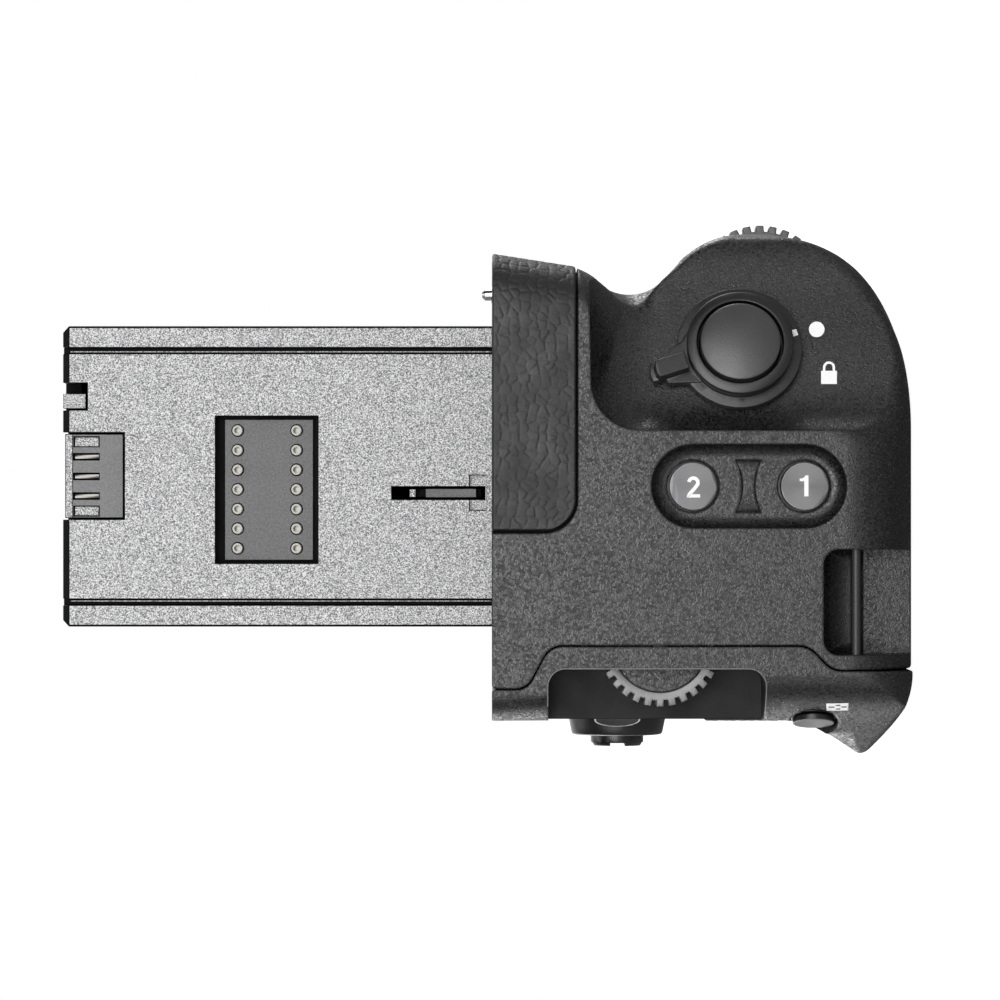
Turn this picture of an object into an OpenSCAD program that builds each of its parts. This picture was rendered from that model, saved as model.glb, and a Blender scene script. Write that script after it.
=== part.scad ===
// Vertical battery grip for a mirrorless camera, with its chamber insert, controls and battery tray.
// X runs to the button end, Y to the front and Z up to the camera.
// The origin is the mouth of the tripod socket.

/* [Body] */
// Screw axis to the button end
end_x = 71; // [70:0.25:73]
// Screw axis to the battery bay
bulk_x = 6.9; // [6.7:0.05:7]
// Height of the face that meets the camera
mate_z = 52.5; // [52:0.25:54]
// Underside of the shells above the base plane
shell_z = 0.1; // [0.05:0.05:0.3]
// Front of the hand ridge
nose_y = 40.4; // [39.5:0.1:41]
// Front of the rubber at the camera face
lip_y = 37.5; // [37:0.1:38.5]
// Front face on the tray side
plain_y = 31; // [31:0.1:32]
// Back face
back_y = -20.6; // [-21.2:0.1:-20.6]
// Gap of the seam between the shells
seam = 0.2; // [0.15:0.05:0.3]
// Wall of the shells at the back
wall = 2.1; // [1.9:0.1:2.3]

/* [Shutter] */
// Tilt of the shutter face to the front
tilt = 17; // [15:0.5:19]
// Shutter axis to the front
shutter_y = 25.4; // [25.3:0.1:25.7]
// Shutter axis above the base
shutter_z = 21.7; // [21.3:0.1:22]
// Radius of the shutter cap
cap_r = 4.95; // [4.8:0.05:5.05]
// Free radius round a pressed cap
cap_gap = 0.07; // [0.05:0.01:0.1]
// Wall of the escutcheon
ring_wall = 0.48; // [0.4:0.02:0.55]
// Radius of the lock lever base
lever_r = 7.8; // [7.6:0.05:8]
// Direction of the lock lever thumb tab
lever_angle = 198; // [194:1:202]
// Radius of the shutter stem
stem_r = 1.5; // [1.3:0.05:1.7]
// Travel of the shutter
shutter_travel = 1; // [0.8:0.05:1.1]

/* [Buttons] */
// Radius of the custom buttons
custom_r = 2.92; // [2.8:0.02:3]
// Gap round the custom buttons
custom_gap = 0.36; // [0.3:0.02:0.45]
// Height of button one above the base
custom_z1 = 13.8; // [13.5:0.1:14]
// Height of button two above the base
custom_z2 = 27.6; // [27.3:0.1:27.9]
// Custom buttons to the front
custom_y = 8.6; // [8.4:0.1:8.8]
// Depth of the racetrack recess
track_depth = 1.8; // [1.6:0.1:2]
// Half width of the recess at its mouth
track_r = 5.3; // [5.2:0.05:5.5]
// Radius of the back buttons
back_button_r = 2.8; // [2.7:0.05:2.9]
// Gap round the back buttons
back_button_gap = 0.25; // [0.2:0.05:0.3]
// Radius of the focus button
focus_r = 2.95; // [2.85:0.05:3]
// Focus button along X
focus_x = 53.5; // [53:0.25:54]
// Focus button above the base
focus_z = 36.6; // [36.4:0.1:36.8]
// Lean of the focus button to the end
focus_lean = 20; // [18:1:22]
// Exposure button along X
expo_x = 65; // [64.5:0.25:65.5]
// Exposure button above the base
expo_z = 12.4; // [12.2:0.1:12.6]
// Lean of the exposure button to the end
expo_lean = 22; // [20:1:24]

/* [Joystick] */
// Joystick along X
stick_x = 40; // [39.5:0.25:40.25]
// Joystick above the base
stick_z = 36.3; // [36.1:0.1:36.4]
// Radius of the joystick cap
stick_r = 3.42; // [3.3:0.02:3.5]
// Radius of the joystick stem
stick_stem_r = 1.2; // [1.1:0.05:1.3]
// Radius of the collar at its foot
collar_r = 6.45; // [6.3:0.05:6.5]
// Height of the collar above the back face
collar_h = 2.9; // [2.7:0.05:3]
// Depth of the joystick pivot behind the back face
pivot_in = 4.4; // [4.3:0.05:4.5]
// Radius of the gimbal pins
gimbal_pin_r = 0.5; // [0.45:0.05:0.55]

/* [Dials] */
// Tip radius of the rear dial
rear_dial_r = 7.6; // [7.5:0.05:7.7]
// Tip radius of the front dial
front_dial_r = 8.75; // [8.6:0.05:8.9]
// Height of a dial tooth
tooth = 0.75; // [0.65:0.05:0.8]
// Free radius round a dial
dial_gap = 0.4; // [0.3:0.05:0.45]
// Radius of the dial axles
axle_r = 1; // [0.9:0.05:1.1]
// Running clearance on axles and pins
run = 0.05; // [0.03:0.01:0.07]
// Width of the rear dial
rear_dial_w = 4.2; // [4:0.1:4.4]
// Width of the front dial
front_dial_w = 4.6; // [4.4:0.1:4.8]

/* [Insert] */
// Thickness of the insert along X
insert_t = 22; // [21.8:0.1:22.4]
// Width of the insert along Y
insert_w = 38.2; // [38:0.1:38.4]
// Height of the insert above the camera face
insert_h = 54.6; // [54:0.2:55]
// Distance of the insert face from the button end
insert_in = 17; // [16.5:0.25:17.5]
// Pitch of the contact pins
pin_pitch = 2.5; // [2.46:0.02:2.54]
// Radius of the contact pins
pin_r = 0.66; // [0.62:0.02:0.7]
// Width of the latch slider
latch_w = 1.05; // [1:0.05:1.1]
// Travel of the latch slider
latch_travel = 2; // [1.8:0.1:2.2]

/* [Fastening] */
// Radius of the camera screw
screw_r = 3.1; // [3.05:0.01:3.17]
// Height of the camera screw above the camera face
screw_up = 5; // [4.6:0.1:5.2]
// Tip radius of the screw wheel
wheel_r = 21.6; // [21.4:0.1:21.9]
// Tapping radius of the tripod socket
socket_r = 2.55; // [2.5:0.01:2.6]
// Radius of the locating pins
locate_r = 0.75; // [0.7:0.05:0.8]
// Free space round the wheel
wheel_gap = 0.4; // [0.3:0.05:0.5]

/* [Tray] */
// Length of a battery well
well_l = 52; // [52:0.1:52.4]
// Thickness of a battery well
well_t = 23; // [22.9:0.05:23.05]
// Height of a battery well
well_h = 39; // [38.9:0.05:39.1]
// Wall of the tray
tray_wall = 1.2; // [1.1:0.05:1.25]
// Free space round the tray
tray_gap = 0.2; // [0.15:0.05:0.25]
// Thickness of the tray door
door_t = 3; // [2.8:0.1:3.2]

/* [Hidden] */
$fn = 48;

part_y = -11.05;
part_top_y = -16.4;
part_low_y = -14.1;
lip_slope = 0.155;
groove_y = nose_y - 9.9;
pad_z = 42.2;
pad_y = 3.1;
pad_corner = 4.2;
pad_x = 26;
pad_t = 1;
pad_seam = 0.35;
pad_gap = 0.2;
hand_x0 = pad_x;
hand_x1 = end_x - 24;
thumb_x0 = 14;
thumb_x1 = end_x - 17;
pad_roll_x = 5.5;
pad_roll_y = 5.6;
base_roll = 7.5;
bay_end = 2.1;
bay_x = -bulk_x;
tray_x = bulk_x + well_l + door_t + bay_end;
bay_y0 = back_y + wall - 0.2;
bay_y1 = bay_y0 + 2 * well_t + 1.6 + 2 * tray_gap;
bay_z0 = 2.2;
bay_z1 = bay_z0 + well_h + 2 * tray_wall + 2 * tray_gap;
cavity_x0 = bay_x + 3;
cavity_x1 = 56;
cavity_y0 = back_y + wall;
cavity_y1 = 26;
cavity_z0 = 2.6;
cavity_z1 = 42.5;
wheel_z0 = 45.4;
wheel_h = 5.2;
wheel_room = 0.4;
hub_r = screw_r + 0.25;
step_up = 0.1;
locate_foot_r = locate_r + 0.3;
scoop_d = 3.1;
scoop_y = 17.3;
shutter_x = end_x - scoop_d - (shutter_y - scoop_y) * tan(tilt);
esc_r = cap_r + cap_gap + ring_wall;
esc_flange_r = lever_r - 0.6;
collar_top_r = lever_r - 1.17;
cap_shadow = 0.44;
cap_top = 4.7;
dome_r = 20;
esc_low = -3.5;
switch_top = -5.6;
track_x = end_x - track_depth;
custom_plate = 1.6;
flange_r = custom_r + 0.88;
end_room_x = end_x - 5;
board_x = end_x - 10;
switch_x = board_x + 1.2;
rear_dial_y = -11.15;
rear_dial_z = 31.6;
rear_dial_x = end_x - 7.8;
front_dial_y = nose_y + 1.35 - front_dial_r;
front_dial_z = 18.5;
front_dial_x = end_x - 20.8;
dial_room = 0.45;
insert_x = end_x - insert_in;
insert_x0 = insert_x - insert_t;
insert_yc = 9.9;
insert_y0 = insert_yc - insert_w / 2;
insert_y1 = insert_yc + insert_w / 2;
insert_z1 = mate_z + insert_h;
cover_in = 2.8;
cover_t = 2.2;
window_y0 = -1.2;
window_y1 = 17.6;
window_z0 = 74.6;
window_z1 = 87.7;
cover_y0 = insert_y0 + cover_in;
cover_y1 = insert_y1 - cover_in;
notch_y0 = 18.3;
notch_y1 = 21.8;
notch_z = 103.9;
term_z0 = 102.5;
term_z1 = 105.7;
pin_y0 = 0.75;
pin_z = [77.4, 84.9];
slot_y = 7.78;
slot_w = 1.7;
latch_z = 53.9;
latch_l = 9.1;
plate_t = 1.2;
plate_x0 = 13.2 - tray_x;
plate_x1 = end_x - 14.2;
plate_y0 = back_y + 7.8;
plate_y1 = plain_y - 16.2;
bush_r = 4.6;
strap_z = 7.4;
strap_y0 = -12.3;
strap_y1 = 0.8;
strap_x = end_x - 1.4;
strap_r = 0.55;
expo_switch_r = 2.2;
expo_floor = 5.4;
focus_top = 0.45;

function unit(v) = v / norm(v);
function mix(p, q, t) = p + (q - p) * t;
function ramp(a, b, x) = let(t = min(1, max(0, (x - a) / (b - a)))) t * t * (3 - 2 * t);
function roll(d, r) = 1 - sqrt(1 - pow(1 - min(d, r) / r, 2));
function back(l) = [for (i = [len(l) - 1:-1:0]) l[i]];

// Points of one rounded corner; p holds y, z and the two tangent lengths
function corner(a, p, b, n) =
  let(
    c = [p[0], p[1]],
    ua = unit([a[0], a[1]] - c),
    ub = unit([b[0], b[1]] - c),
    s = c + ua * p[2],
    e = c + ub * p[3],
    w = sqrt(max(0.02, (1 - ua * ub) / 2))
  )
  [for (i = [0:n])
    let(t = i / n, k = 2 * w * t * (1 - t), m = (1 - t) * (1 - t) + k + t * t)
    (s * (1 - t) * (1 - t) + c * k + e * t * t) / m];

function ring(l, ns) =
  let(n = len(l))
  [for (i = [0:n - 1]) each corner(l[(i + n - 1) % n], l[i], l[(i + 1) % n], ns[i])];

// Front shell section: bottom, hand ridge, finger groove, rubber lip, seam
front_seam = [
  [part_top_y, mate_z, 0.4, 0.4], [part_top_y, 48.2, 1.4, 1.4], [part_y, 45.4, 1.6, 1.6],
  [part_y, 13.3, 1.3, 1.3], [part_low_y, 10.4, 1.3, 1.3]];
front_n = [1, 10, 4, 5, 3, 2, 1, 3, 3, 3, 3];
front_hand = concat([
  [part_low_y, shell_z, 0.4, 0.4], [nose_y, shell_z, 24.8, 18.6], [nose_y, 25.5, 4.5, 4.5],
  [groove_y, 35, 5.5, 5.5], [lip_y - 1.9, 40.7, 1.5, 1.5], [lip_y, mate_z, 0.8, 0.8]], front_seam);
front_plain = concat([
  [part_low_y, shell_z, 0.4, 0.4], [plain_y, shell_z, 3, 3], [plain_y, 18, 3, 3],
  [plain_y, 30, 3, 3], [plain_y, 41, 1.5, 1.5], [plain_y + 0.5, mate_z, 0.8, 0.8]], front_seam);

// Edge of the scooped shutter face against depth below the button end
scoop_edge = [[0, 15.5], [0.3, 15.56], [1.2, 16.05], [2.2, 16.9], [2.8, 17.6], [3.3, 18.4], [3.75, scoop_y + 0.65 / tan(tilt)],
  [8, scoop_y + (8 - scoop_d) / tan(tilt)], [9, nose_y - 3.4], [9.6, nose_y - 1.7], [10.4, nose_y - 0.6], [12.5, nose_y]];
scoop_wall = [[0, 40.2], [0.3, 40], [1.2, 39.3], [2.2, 38.4], [3, 37.6], [3.75, 36.9], [5, 35.8], [6.5, 34.8], [8, 34.6], [10.4, 35]];
scoop_z2 = [[0, 25], [5, 27], [6.5, 30.5], [8, 31.9], [9, 28.5], [9.6, 27], [10.4, 26], [12.5, 25.5]];
scoop_d1 = [[15.5, 2.5], [23.4, 2.2], [28.3, 3.4], [33.2, 7], [nose_y - 3.4, 10.6], [nose_y - 1.7, 13], [nose_y - 0.6, 15.8], [nose_y, 18.6]];
scoop_d2 = [[0, 2], [5, 1], [8, 0.8], [9, 1.5], [10.4, 3.5], [12.5, 4.5]];
scoop_d3 = [[0, 6], [3.6, 5], [5, 4], [6.5, 2.6], [8, 2.5], [9, 4], [10.4, 5.5]];
end_depths = [12.5, 10.4, 9.6, 9, 8, 6.5, 5, 3.75, 3.3, 2.8, 2.2, 1.2, 0.3, 0];

function end_section(d) =
  let(
    y = lookup(d, scoop_edge),
    z = shell_z + 8.6 * roll(d, base_roll),
    d2 = lookup(d, scoop_d2),
    d3 = lookup(d, scoop_d3),
    lip = lip_y - pad_roll_y * roll(d, pad_roll_x),
    d4 = lookup(d, [[0, 0.8], [5, 1.5]])
  )
  concat([
    [part_low_y, z, 0.4, 0.4], [y, z, max(2.5, y - 15.6), lookup(y, scoop_d1)],
    [y, lookup(d, scoop_z2), d2, d2], [min(y, groove_y), lookup(d, scoop_wall), d3, d3],
    [lip - 1.9, lookup(d, [[0, 40.4], [3, 40.7]]), d4, d4], [lip, mate_z, 0.8, 0.8]], front_seam);

front_left = [-tray_x, -5, 1, 7, 13, 19, 24];
front_x = concat(front_left, [for (d = end_depths) end_x - d]);
front_rings = concat(
  [for (x = front_left) ring(mix(front_plain, front_hand, ramp(-5, 24, x)), front_n)],
  [for (d = end_depths) ring(end_section(d), front_n)]);

// Rear cover section: seam, back face, thumb ridge
rear_seam = [
  [part_low_y - seam, 10.4 + seam / 2, 1.3, 1.3], [part_y - seam, 13.3 + seam / 2, 1.3, 1.3],
  [part_y - seam, 45.4 - seam / 2, 1.6, 1.6], [part_top_y - seam, 48.2 - seam / 2, 1.4, 1.4],
  [part_top_y - seam, mate_z, 0.3, 0.3]];
rear_n = [1, 3, 3, 3, 3, 1, 2, 5, 3, 5];
ridge = 4.75;
crest_up = [[0, 0.4], [1, 1.5], [2, 2.2], [5, 3.2], [8, 2.4], [12, 0.9]];
crest_low = [[0, 0.6], [1, 1.6], [2, 2.4], [5, 3.2], [8, 2.4], [12, 1.2]];
keel = [[0, 0.6], [1, 3], [2, 3.6], [5, 4.2], [8, 5.4], [12, 7]];

function rear_section(d) =
  let(
    z = shell_z + 6.6 * roll(d, base_roll),
    e = roll(d, 9),
    f = roll(d, 12),
    g = 1 - ramp(7, 11, d),
    t = (3.5 - 2.7 * e) * (1 - g) + (1.2 - 0.4 * e) * g
  )
  concat([[part_low_y - seam, z, 0.3, 0.3]], rear_seam, [
    [back_y + 3.4 * roll(d, 8), mate_z, 0.6 - 0.4 * e, 0.6 - 0.4 * e],
    [back_y + 4.4 * e, 13 - 3.4 * g, t, t],
    [back_y - ridge + 8.2 * f, 5.9 + 3.2 * f, lookup(d, crest_up), lookup(d, crest_low)],
    [-18.9 + 3.2 * e, z, lookup(d, keel), 4.1 - 3.7 * e]]);

rear_hand = rear_section(12);
rear_plain = concat([[part_low_y - seam, shell_z, 0.3, 0.3]], rear_seam, [
  [back_y, mate_z, 0.6, 0.6], [back_y, 12, 2, 2], [back_y, 2.2, 0.8, 0.8], [back_y + 1.2, shell_z, 0.6, 0.6]]);
rear_depths = [12, 10.5, 9.5, 8.5, 7.5, 5.5, 3.5, 2, 1, 0.3, 0];
rear_left = [-tray_x, 4, 10, 17, 24, 30];
rear_x = concat(rear_left, [for (d = rear_depths) end_x - d]);
rear_rings = concat(
  [for (x = rear_left) ring(mix(rear_plain, rear_hand, ramp(4, 30, x)), rear_n)],
  [for (d = rear_depths) ring(rear_section(d), rear_n)]);

// Triangles that fill a flat outline whose points run anticlockwise
function turn(a, b, c) = (b[0] - a[0]) * (c[1] - a[1]) - (b[1] - a[1]) * (c[0] - a[0]);
function holds(p, a, b, c) = turn(a, b, p) >= -1e-9 && turn(b, c, p) >= -1e-9 && turn(c, a, p) >= -1e-9;
function ear(l, ids, k) =
  let(n = len(ids), a = ids[(k + n - 1) % n], b = ids[k], c = ids[(k + 1) % n])
  k >= n - 1 ? k
    : turn(l[a], l[b], l[c]) > 1e-7
      && len([for (q = ids) if (q != a && q != b && q != c && holds(l[q], l[a], l[b], l[c])) q]) == 0 ? k
    : ear(l, ids, k + 1);
function filled(l, ids, done) =
  len(ids) == 3 ? concat(done, [ids])
    : let(n = len(ids), k = ear(l, ids, 0))
      filled(l, [for (i = [0:n - 1]) if (i != k) ids[i]], concat(done, [[ids[(k + n - 1) % n], ids[k], ids[(k + 1) % n]]]));
function fill(l) = filled(l, [for (i = [0:len(l) - 1]) i], []);

// Solid through sections along X
module skin(xs, rings) {
  n = len(rings[0]);
  m = len(xs);
  polyhedron(
    points = [for (k = [0:m - 1]) for (p = rings[k]) [xs[k], p[0], p[1]]],
    faces = concat(
      fill(rings[0]),
      [for (t = fill(rings[m - 1])) [for (i = back(t)) (m - 1) * n + i]],
      [for (k = [0:m - 2]) for (i = [0:n - 1]) each [
        [k * n + i, (k + 1) * n + i, (k + 1) * n + (i + 1) % n],
        [k * n + i, (k + 1) * n + (i + 1) % n, k * n + (i + 1) % n]]]));
}

module along_x(x, h) {
  translate([x, 0, 0])
    rotate([90, 0, 90])
      linear_extrude(h)
        children();
}

module rod_x(x, y, z, r, h) {
  translate([x, y, z])
    rotate([0, 90, 0])
      cylinder(r = r, h = h);
}

module block(x0, x1, y0, y1, z0, z1) {
  translate([x0, y0, z0])
    cube([x1 - x0, y1 - y0, z1 - z0]);
}

module tube(r, z0, z1) {
  translate([0, 0, z0])
    cylinder(r = r, h = z1 - z0);
}

// Frames of the tilted controls; their Z leaves the body
module shutter_frame() {
  translate([shutter_x, shutter_y, shutter_z])
    rotate([0, 0, tilt])
      rotate([0, 90, 0])
        children();
}

module focus_frame() {
  translate([focus_x, back_y, focus_z])
    rotate([0, 0, focus_lean])
      rotate([90, 0, 0])
        children();
}

module expo_frame() {
  translate([expo_x, back_y + 0.55, expo_z])
    rotate([0, 0, expo_lean])
      rotate([90, 0, 0])
        children();
}

module stick_frame() {
  translate([stick_x, back_y, stick_z])
    rotate([90, 0, 0])
      children();
}

// Rubber that wraps from the button end to the front
function lip_at(z) = lip_y - (mate_z - z) * lip_slope;
function wrap(off, z, g) = concat(
  [[pad_x - g, lip_at(z) - off]],
  [for (a = [90:-15:0]) [
    end_x - pad_roll_x + (pad_roll_x - off) * cos(a),
    lip_at(z) - pad_roll_y + (pad_roll_y - off) * sin(a)]],
  [[end_x - off, pad_y - g]]);

module wrap_solid(outer, inner, z0, z1, g) {
  low = concat(wrap(outer, z0, g), back(wrap(inner, z0, g)));
  high = concat(wrap(outer, z1, g), back(wrap(inner, z1, g)));
  n = len(low);
  h = n / 2;
  difference() {
    polyhedron(
      points = concat([for (p = low) [p[0], p[1], z0]], [for (p = high) [p[0], p[1], z1]]),
      faces = concat(
        [for (i = [0:h - 2]) each [[i + 1, i, n - 1 - i], [i + 1, n - 1 - i, n - 2 - i]]],
        [for (i = [0:h - 2]) each [[n + i, n + i + 1, n + n - 1 - i], [n + i + 1, n + n - 2 - i, n + n - 1 - i]]],
        [for (i = [0:n - 1]) each [
          [i, (i + 1) % n, n + (i + 1) % n],
          [i, n + (i + 1) % n, n + i]]]));
    translate([end_x - 4, pad_y - g - 0.01, z0 - 0.01])
      difference() {
        cube([9, pad_corner, pad_corner]);
        translate([-1, pad_corner, pad_corner])
          rotate([0, 90, 0])
            cylinder(r = pad_corner, h = 11);
      }
  }
}

// Line over the hand ridge, moved out by off
ridge_line = let(a = corner(front_hand[0], front_hand[1], front_hand[2], 14), b = corner(front_hand[1], front_hand[2], front_hand[3], 5))
  concat([for (i = [5:14]) a[i]], b);
function moved(l, off) = [for (i = [0:len(l) - 1])
  let(t = unit(l[min(len(l) - 1, i + 1)] - l[max(0, i - 1)])) l[i] + off * [t[1], -t[0]]];

module hand_strip(outer, inner, x0, x1) {
  along_x(x0, x1 - x0)
    polygon(concat(moved(ridge_line, outer), back(moved(ridge_line, inner))));
}

module toothed(r, w, count, depth) {
  a = 360 / count;
  linear_extrude(w)
    polygon([for (i = [0:count - 1]) each [
      r * [cos(a * (i - 0.26)), sin(a * (i - 0.26))],
      r * [cos(a * (i + 0.26)), sin(a * (i + 0.26))],
      (r - depth) * [cos(a * (i + 0.33)), sin(a * (i + 0.33))],
      (r - depth) * [cos(a * (i + 0.67)), sin(a * (i + 0.67))]]]);
}

// Spaces that both shells share
module shared_space() {
  block(-tray_x - 1, bay_x, bay_y0, bay_y1, bay_z0, bay_z1);
  block(cavity_x0, cavity_x1, cavity_y0, cavity_y1, cavity_z0, cavity_z1);
  tube(wheel_r + wheel_gap, wheel_z0 - wheel_room, wheel_z0 + wheel_h + wheel_room);
  rod_x(rear_dial_x - dial_room, rear_dial_y, rear_dial_z, rear_dial_r + dial_gap, rear_dial_w + 2 * dial_room);
  rod_x(end_x - 13, rear_dial_y, rear_dial_z, axle_r, 11.6);
}

module track_space() {
  for (z = [custom_z1, custom_z2])
    translate([track_x, custom_y, z])
      rotate([0, 90, 0])
        cylinder(r1 = track_r - 0.9, r2 = track_r, h = track_depth + 0.001);
  translate([0, custom_y, custom_z1])
    linear_extrude(custom_z2 - custom_z1)
      polygon([[track_x, 0.9 - track_r], [end_x + 0.001, -track_r], [end_x + 0.001, track_r], [track_x, track_r - 0.9]]);
}

module divider() {
  along_x(track_x - 0.3, 1.2)
    translate([custom_y, (custom_z1 + custom_z2) / 2])
      polygon(concat(
        [for (t = [-1:0.25:1]) [3.15 * t, 0.72 + 0.78 * t * t]],
        [for (t = [1:-0.25:-1]) [3.15 * t, -0.72 - 0.78 * t * t]]));
}

module strap_space() {
  along_x(end_x - 8, 10)
    polygon(ring([[strap_y0, strap_z, 0.1, 0.1], [strap_y1, strap_z, 0.1, 0.1],
      [strap_y1, 11.5, 1.85, 1.85], [strap_y0, 11.5, 1.85, 1.85]], [1, 1, 4, 4]));
  block(end_x - 6.5, end_x + 1, strap_y0, strap_y1, -1, strap_z + 0.2);
}

module front_shell() {
  color("#39393b") {
    difference() {
      skin(front_x, front_rings);
      shared_space();
      wrap_solid(-3, pad_t, pad_z - pad_seam, mate_z + 1, pad_seam);
      hand_strip(4, -0.9, hand_x0 - pad_gap, hand_x1 + pad_gap);
      tube(screw_r + 0.5, 50, 54);
      tube(2 + run, 40, 46);
      tube(bush_r, -1, 8);
      block(insert_x0 + 0.9, insert_x - 0.9, insert_y0 + 0.9, insert_y1 - 0.9, mate_z - 6, mate_z + 1);
      block(plate_x0 - pad_gap, plate_x1 + pad_gap, plate_y0 - pad_gap, plate_y1 + pad_gap, -1, plate_t);
      track_space();
      for (z = [custom_z1, custom_z2]) {
        rod_x(end_room_x - 1, custom_y, z, custom_r + custom_gap, 8);
        rod_x(end_room_x - 1, custom_y, z, flange_r + 0.3, 1 + 5 - track_depth - custom_plate);
      }
      block(cavity_x1 - 1, end_room_x, 2.2, 15, 7, 35);
      strap_space();
      rod_y(strap_x, strap_y0 - 1, strap_z, strap_r, strap_y1 - strap_y0 + 2);
      shutter_frame() {
        tube(esc_flange_r + 0.1, -1.25, 8);
        tube(esc_r + 0.1, -4, 0);
        tube(4.7, -12, -3.9);
      }
      rod_x(front_dial_x - dial_room, front_dial_y, front_dial_z, front_dial_r + dial_gap, front_dial_w + 2 * dial_room);
      rod_x(front_dial_x - 4, front_dial_y, front_dial_z, axle_r, front_dial_w + 7.5);
      for (p = locate_at)
        translate([p[0], p[1], mate_z - 4.5])
          cylinder(r = locate_foot_r, h = 6);
      for (p = top_screw_at)
        translate([p[0], p[1], mate_z - 6]) {
          cylinder(r = 1, h = 7);
          tube(1.75, 4.6, 7);
        }
      for (p = base_screw_at)
        translate([p[0], p[1], -1])
          cylinder(r = 1, h = 5);
      for (y = bay_block_y)
        block(bay_x - 0.1, cavity_x0 + 0.1, y, y + 10, 16, 30);
    }
    divider();
    difference() {
      tube(6.8, plate_t, 8.6);
      tube(bush_r, 0, 8);
      block(-9, bay_x + 0.1, -9, 9, 0, 9);
    }
  }
}

module rod_y(x, y, z, r, h) {
  translate([x, y, z])
    rotate([-90, 0, 0])
      cylinder(r = r, h = h);
}

locate_at = [[46, 33.3], [-40, 22]];
top_screw_at = [[27, -12], [27, 28], [-29, -12], [-29, 24]];
base_screw_at = [[14, 9], [14, -9], [50, 9], [50, -9]];
bay_block_y = [-10.6, 12.6];

module rear_cover() {
  color("#39393b")
    difference() {
      skin(rear_x, rear_rings);
      shared_space();
      along_x(end_x - 10, 12)
        polygon(ring([[-22, 18.65, 0.2, 0.2], [-14.05, 18.65, 2.1, 2.1], [-14.05, 45.5, 2.1, 2.1], [-22, 45.5, 0.2, 0.2]],
          [1, 4, 4, 1]));
      stick_frame()
        tube(collar_r - 2, -4, 2);
      focus_frame()
        tube(focus_r + back_button_gap, -8, 6);
      expo_frame() {
        tube(back_button_r + back_button_gap, -3.2, 6);
        tube(expo_switch_r, -expo_floor, 0);
      }
      block(thumb_x0 - pad_gap, thumb_x1 + pad_gap, back_y - 2, back_y + 0.7, 15 - pad_gap, 25.7 + pad_gap);
    }
}

module bottom_plate() {
  color("#2b2b2d")
    difference() {
      block(plate_x0, plate_x1, plate_y0, plate_y1, 0, plate_t);
      tube(bush_r + 1.2, -1, 3);
      for (p = base_screw_at)
        translate([p[0], p[1], -1])
          cylinder(r = 1.85, h = 5);
    }
}

module grip_rubber() {
  color("#454547")
    wrap_solid(-0.12, pad_t, pad_z, mate_z - 0.05, 0);
}

module hand_pad() {
  color("#454547")
    hand_strip(0.25, -0.9, hand_x0, hand_x1);
}

module thumb_pad() {
  color("#454547")
    block(thumb_x0, thumb_x1, back_y - 0.6, back_y + 0.7, 15, 25.7);
}

module strap_bar() {
  color("#8a8a8c")
    rod_y(strap_x, strap_y0 - 1, strap_z, strap_r, strap_y1 - strap_y0 + 2);
}

module locating_pins() {
  color("#d8d8da")
    for (p = locate_at)
      translate([p[0], p[1], 0]) {
        tube(locate_foot_r, mate_z - 4.5, mate_z + step_up);
        tube(locate_r, mate_z + step_up, mate_z + 0.9);
        translate([0, 0, mate_z + 0.9])
          cylinder(r1 = locate_r, r2 = locate_r * 0.5, h = 0.4);
      }
}

module top_screws() {
  color("#4a4a4c")
    for (p = top_screw_at)
      translate([p[0], p[1], mate_z - 6])
        difference() {
          union() {
            cylinder(r = 1, h = 5);
            tube(1.7, 4.6, 5.9);
          }
          translate([-1, -0.2, 5.4])
            cube([2, 0.4, 1]);
          translate([-0.2, -1, 5.4])
            cube([0.4, 2, 1]);
        }
}

module base_screws() {
  color("#4a4a4c")
    for (p = base_screw_at)
      translate([p[0], p[1], 0])
        difference() {
          union() {
            tube(1.8, 0.1, plate_t);
            tube(1, plate_t, cavity_z0);
          }
          translate([-1.1, -0.2, 0])
            cube([2.2, 0.4, 0.6]);
          translate([-0.2, -1.1, 0])
            cube([0.4, 2.2, 0.6]);
        }
}

module tripod_bush() {
  color("#b9b7b0")
    difference() {
      union() {
        tube(bush_r + 1, 0, plate_t);
        tube(bush_r, plate_t, 8);
      }
      tube(socket_r, -1, 7.2);
    }
}

module insert_body() {
  color("#77787a") {
    insert_case();
    block(insert_x - 5.1, insert_x - 0.95, notch_y0 + 0.25, notch_y0 + 2.1, notch_z + 0.3, insert_z1);
  }
}

module insert_case() {
  difference() {
    union() {
      block(insert_x0, insert_x, insert_y0, insert_y1, mate_z, insert_z1);
      block(insert_x0 + 1, insert_x - 1, insert_y0 + 1, insert_y1 - 1, mate_z - 5.9, mate_z);
    }
    block(insert_x0 + 2, insert_x - 2, cover_y0 + 1.8, cover_y1 - 1.6, mate_z - 4, insert_z1 - 2);
    block(insert_x - cover_t, insert_x + 1, cover_y0 - 0.1, cover_y1 + 0.1, mate_z - 0.1, insert_z1 + 1);
    block(insert_x - 8, insert_x + 1, 4.3, 15.6, 99.1, insert_z1 + 1);
    block(insert_x - 5, insert_x + 1, notch_y0, notch_y1, notch_z, insert_z1 + 1);
    tip_chamfer(insert_y0 - 1, insert_y1 + 1);
    for (s = [[insert_y0, 45], [insert_y1, 45]])
      translate([insert_x, s[0], mate_z + insert_h / 2])
        rotate([0, 0, s[1]])
          cube([0.3, 0.3, insert_h + 4], center = true);
    for (y = [insert_y0, insert_y1])
      translate([insert_x0 + insert_t / 2, y, insert_z1])
        rotate([45, 0, 0])
          cube([insert_t + 4, 1.15, 1.15], center = true);
  }
}

module tip_chamfer(y0, y1) {
  translate([insert_x, (y0 + y1) / 2, insert_z1])
    rotate([0, 45, 0])
      cube([1.2, y1 - y0, 1.2], center = true);
}

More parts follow.
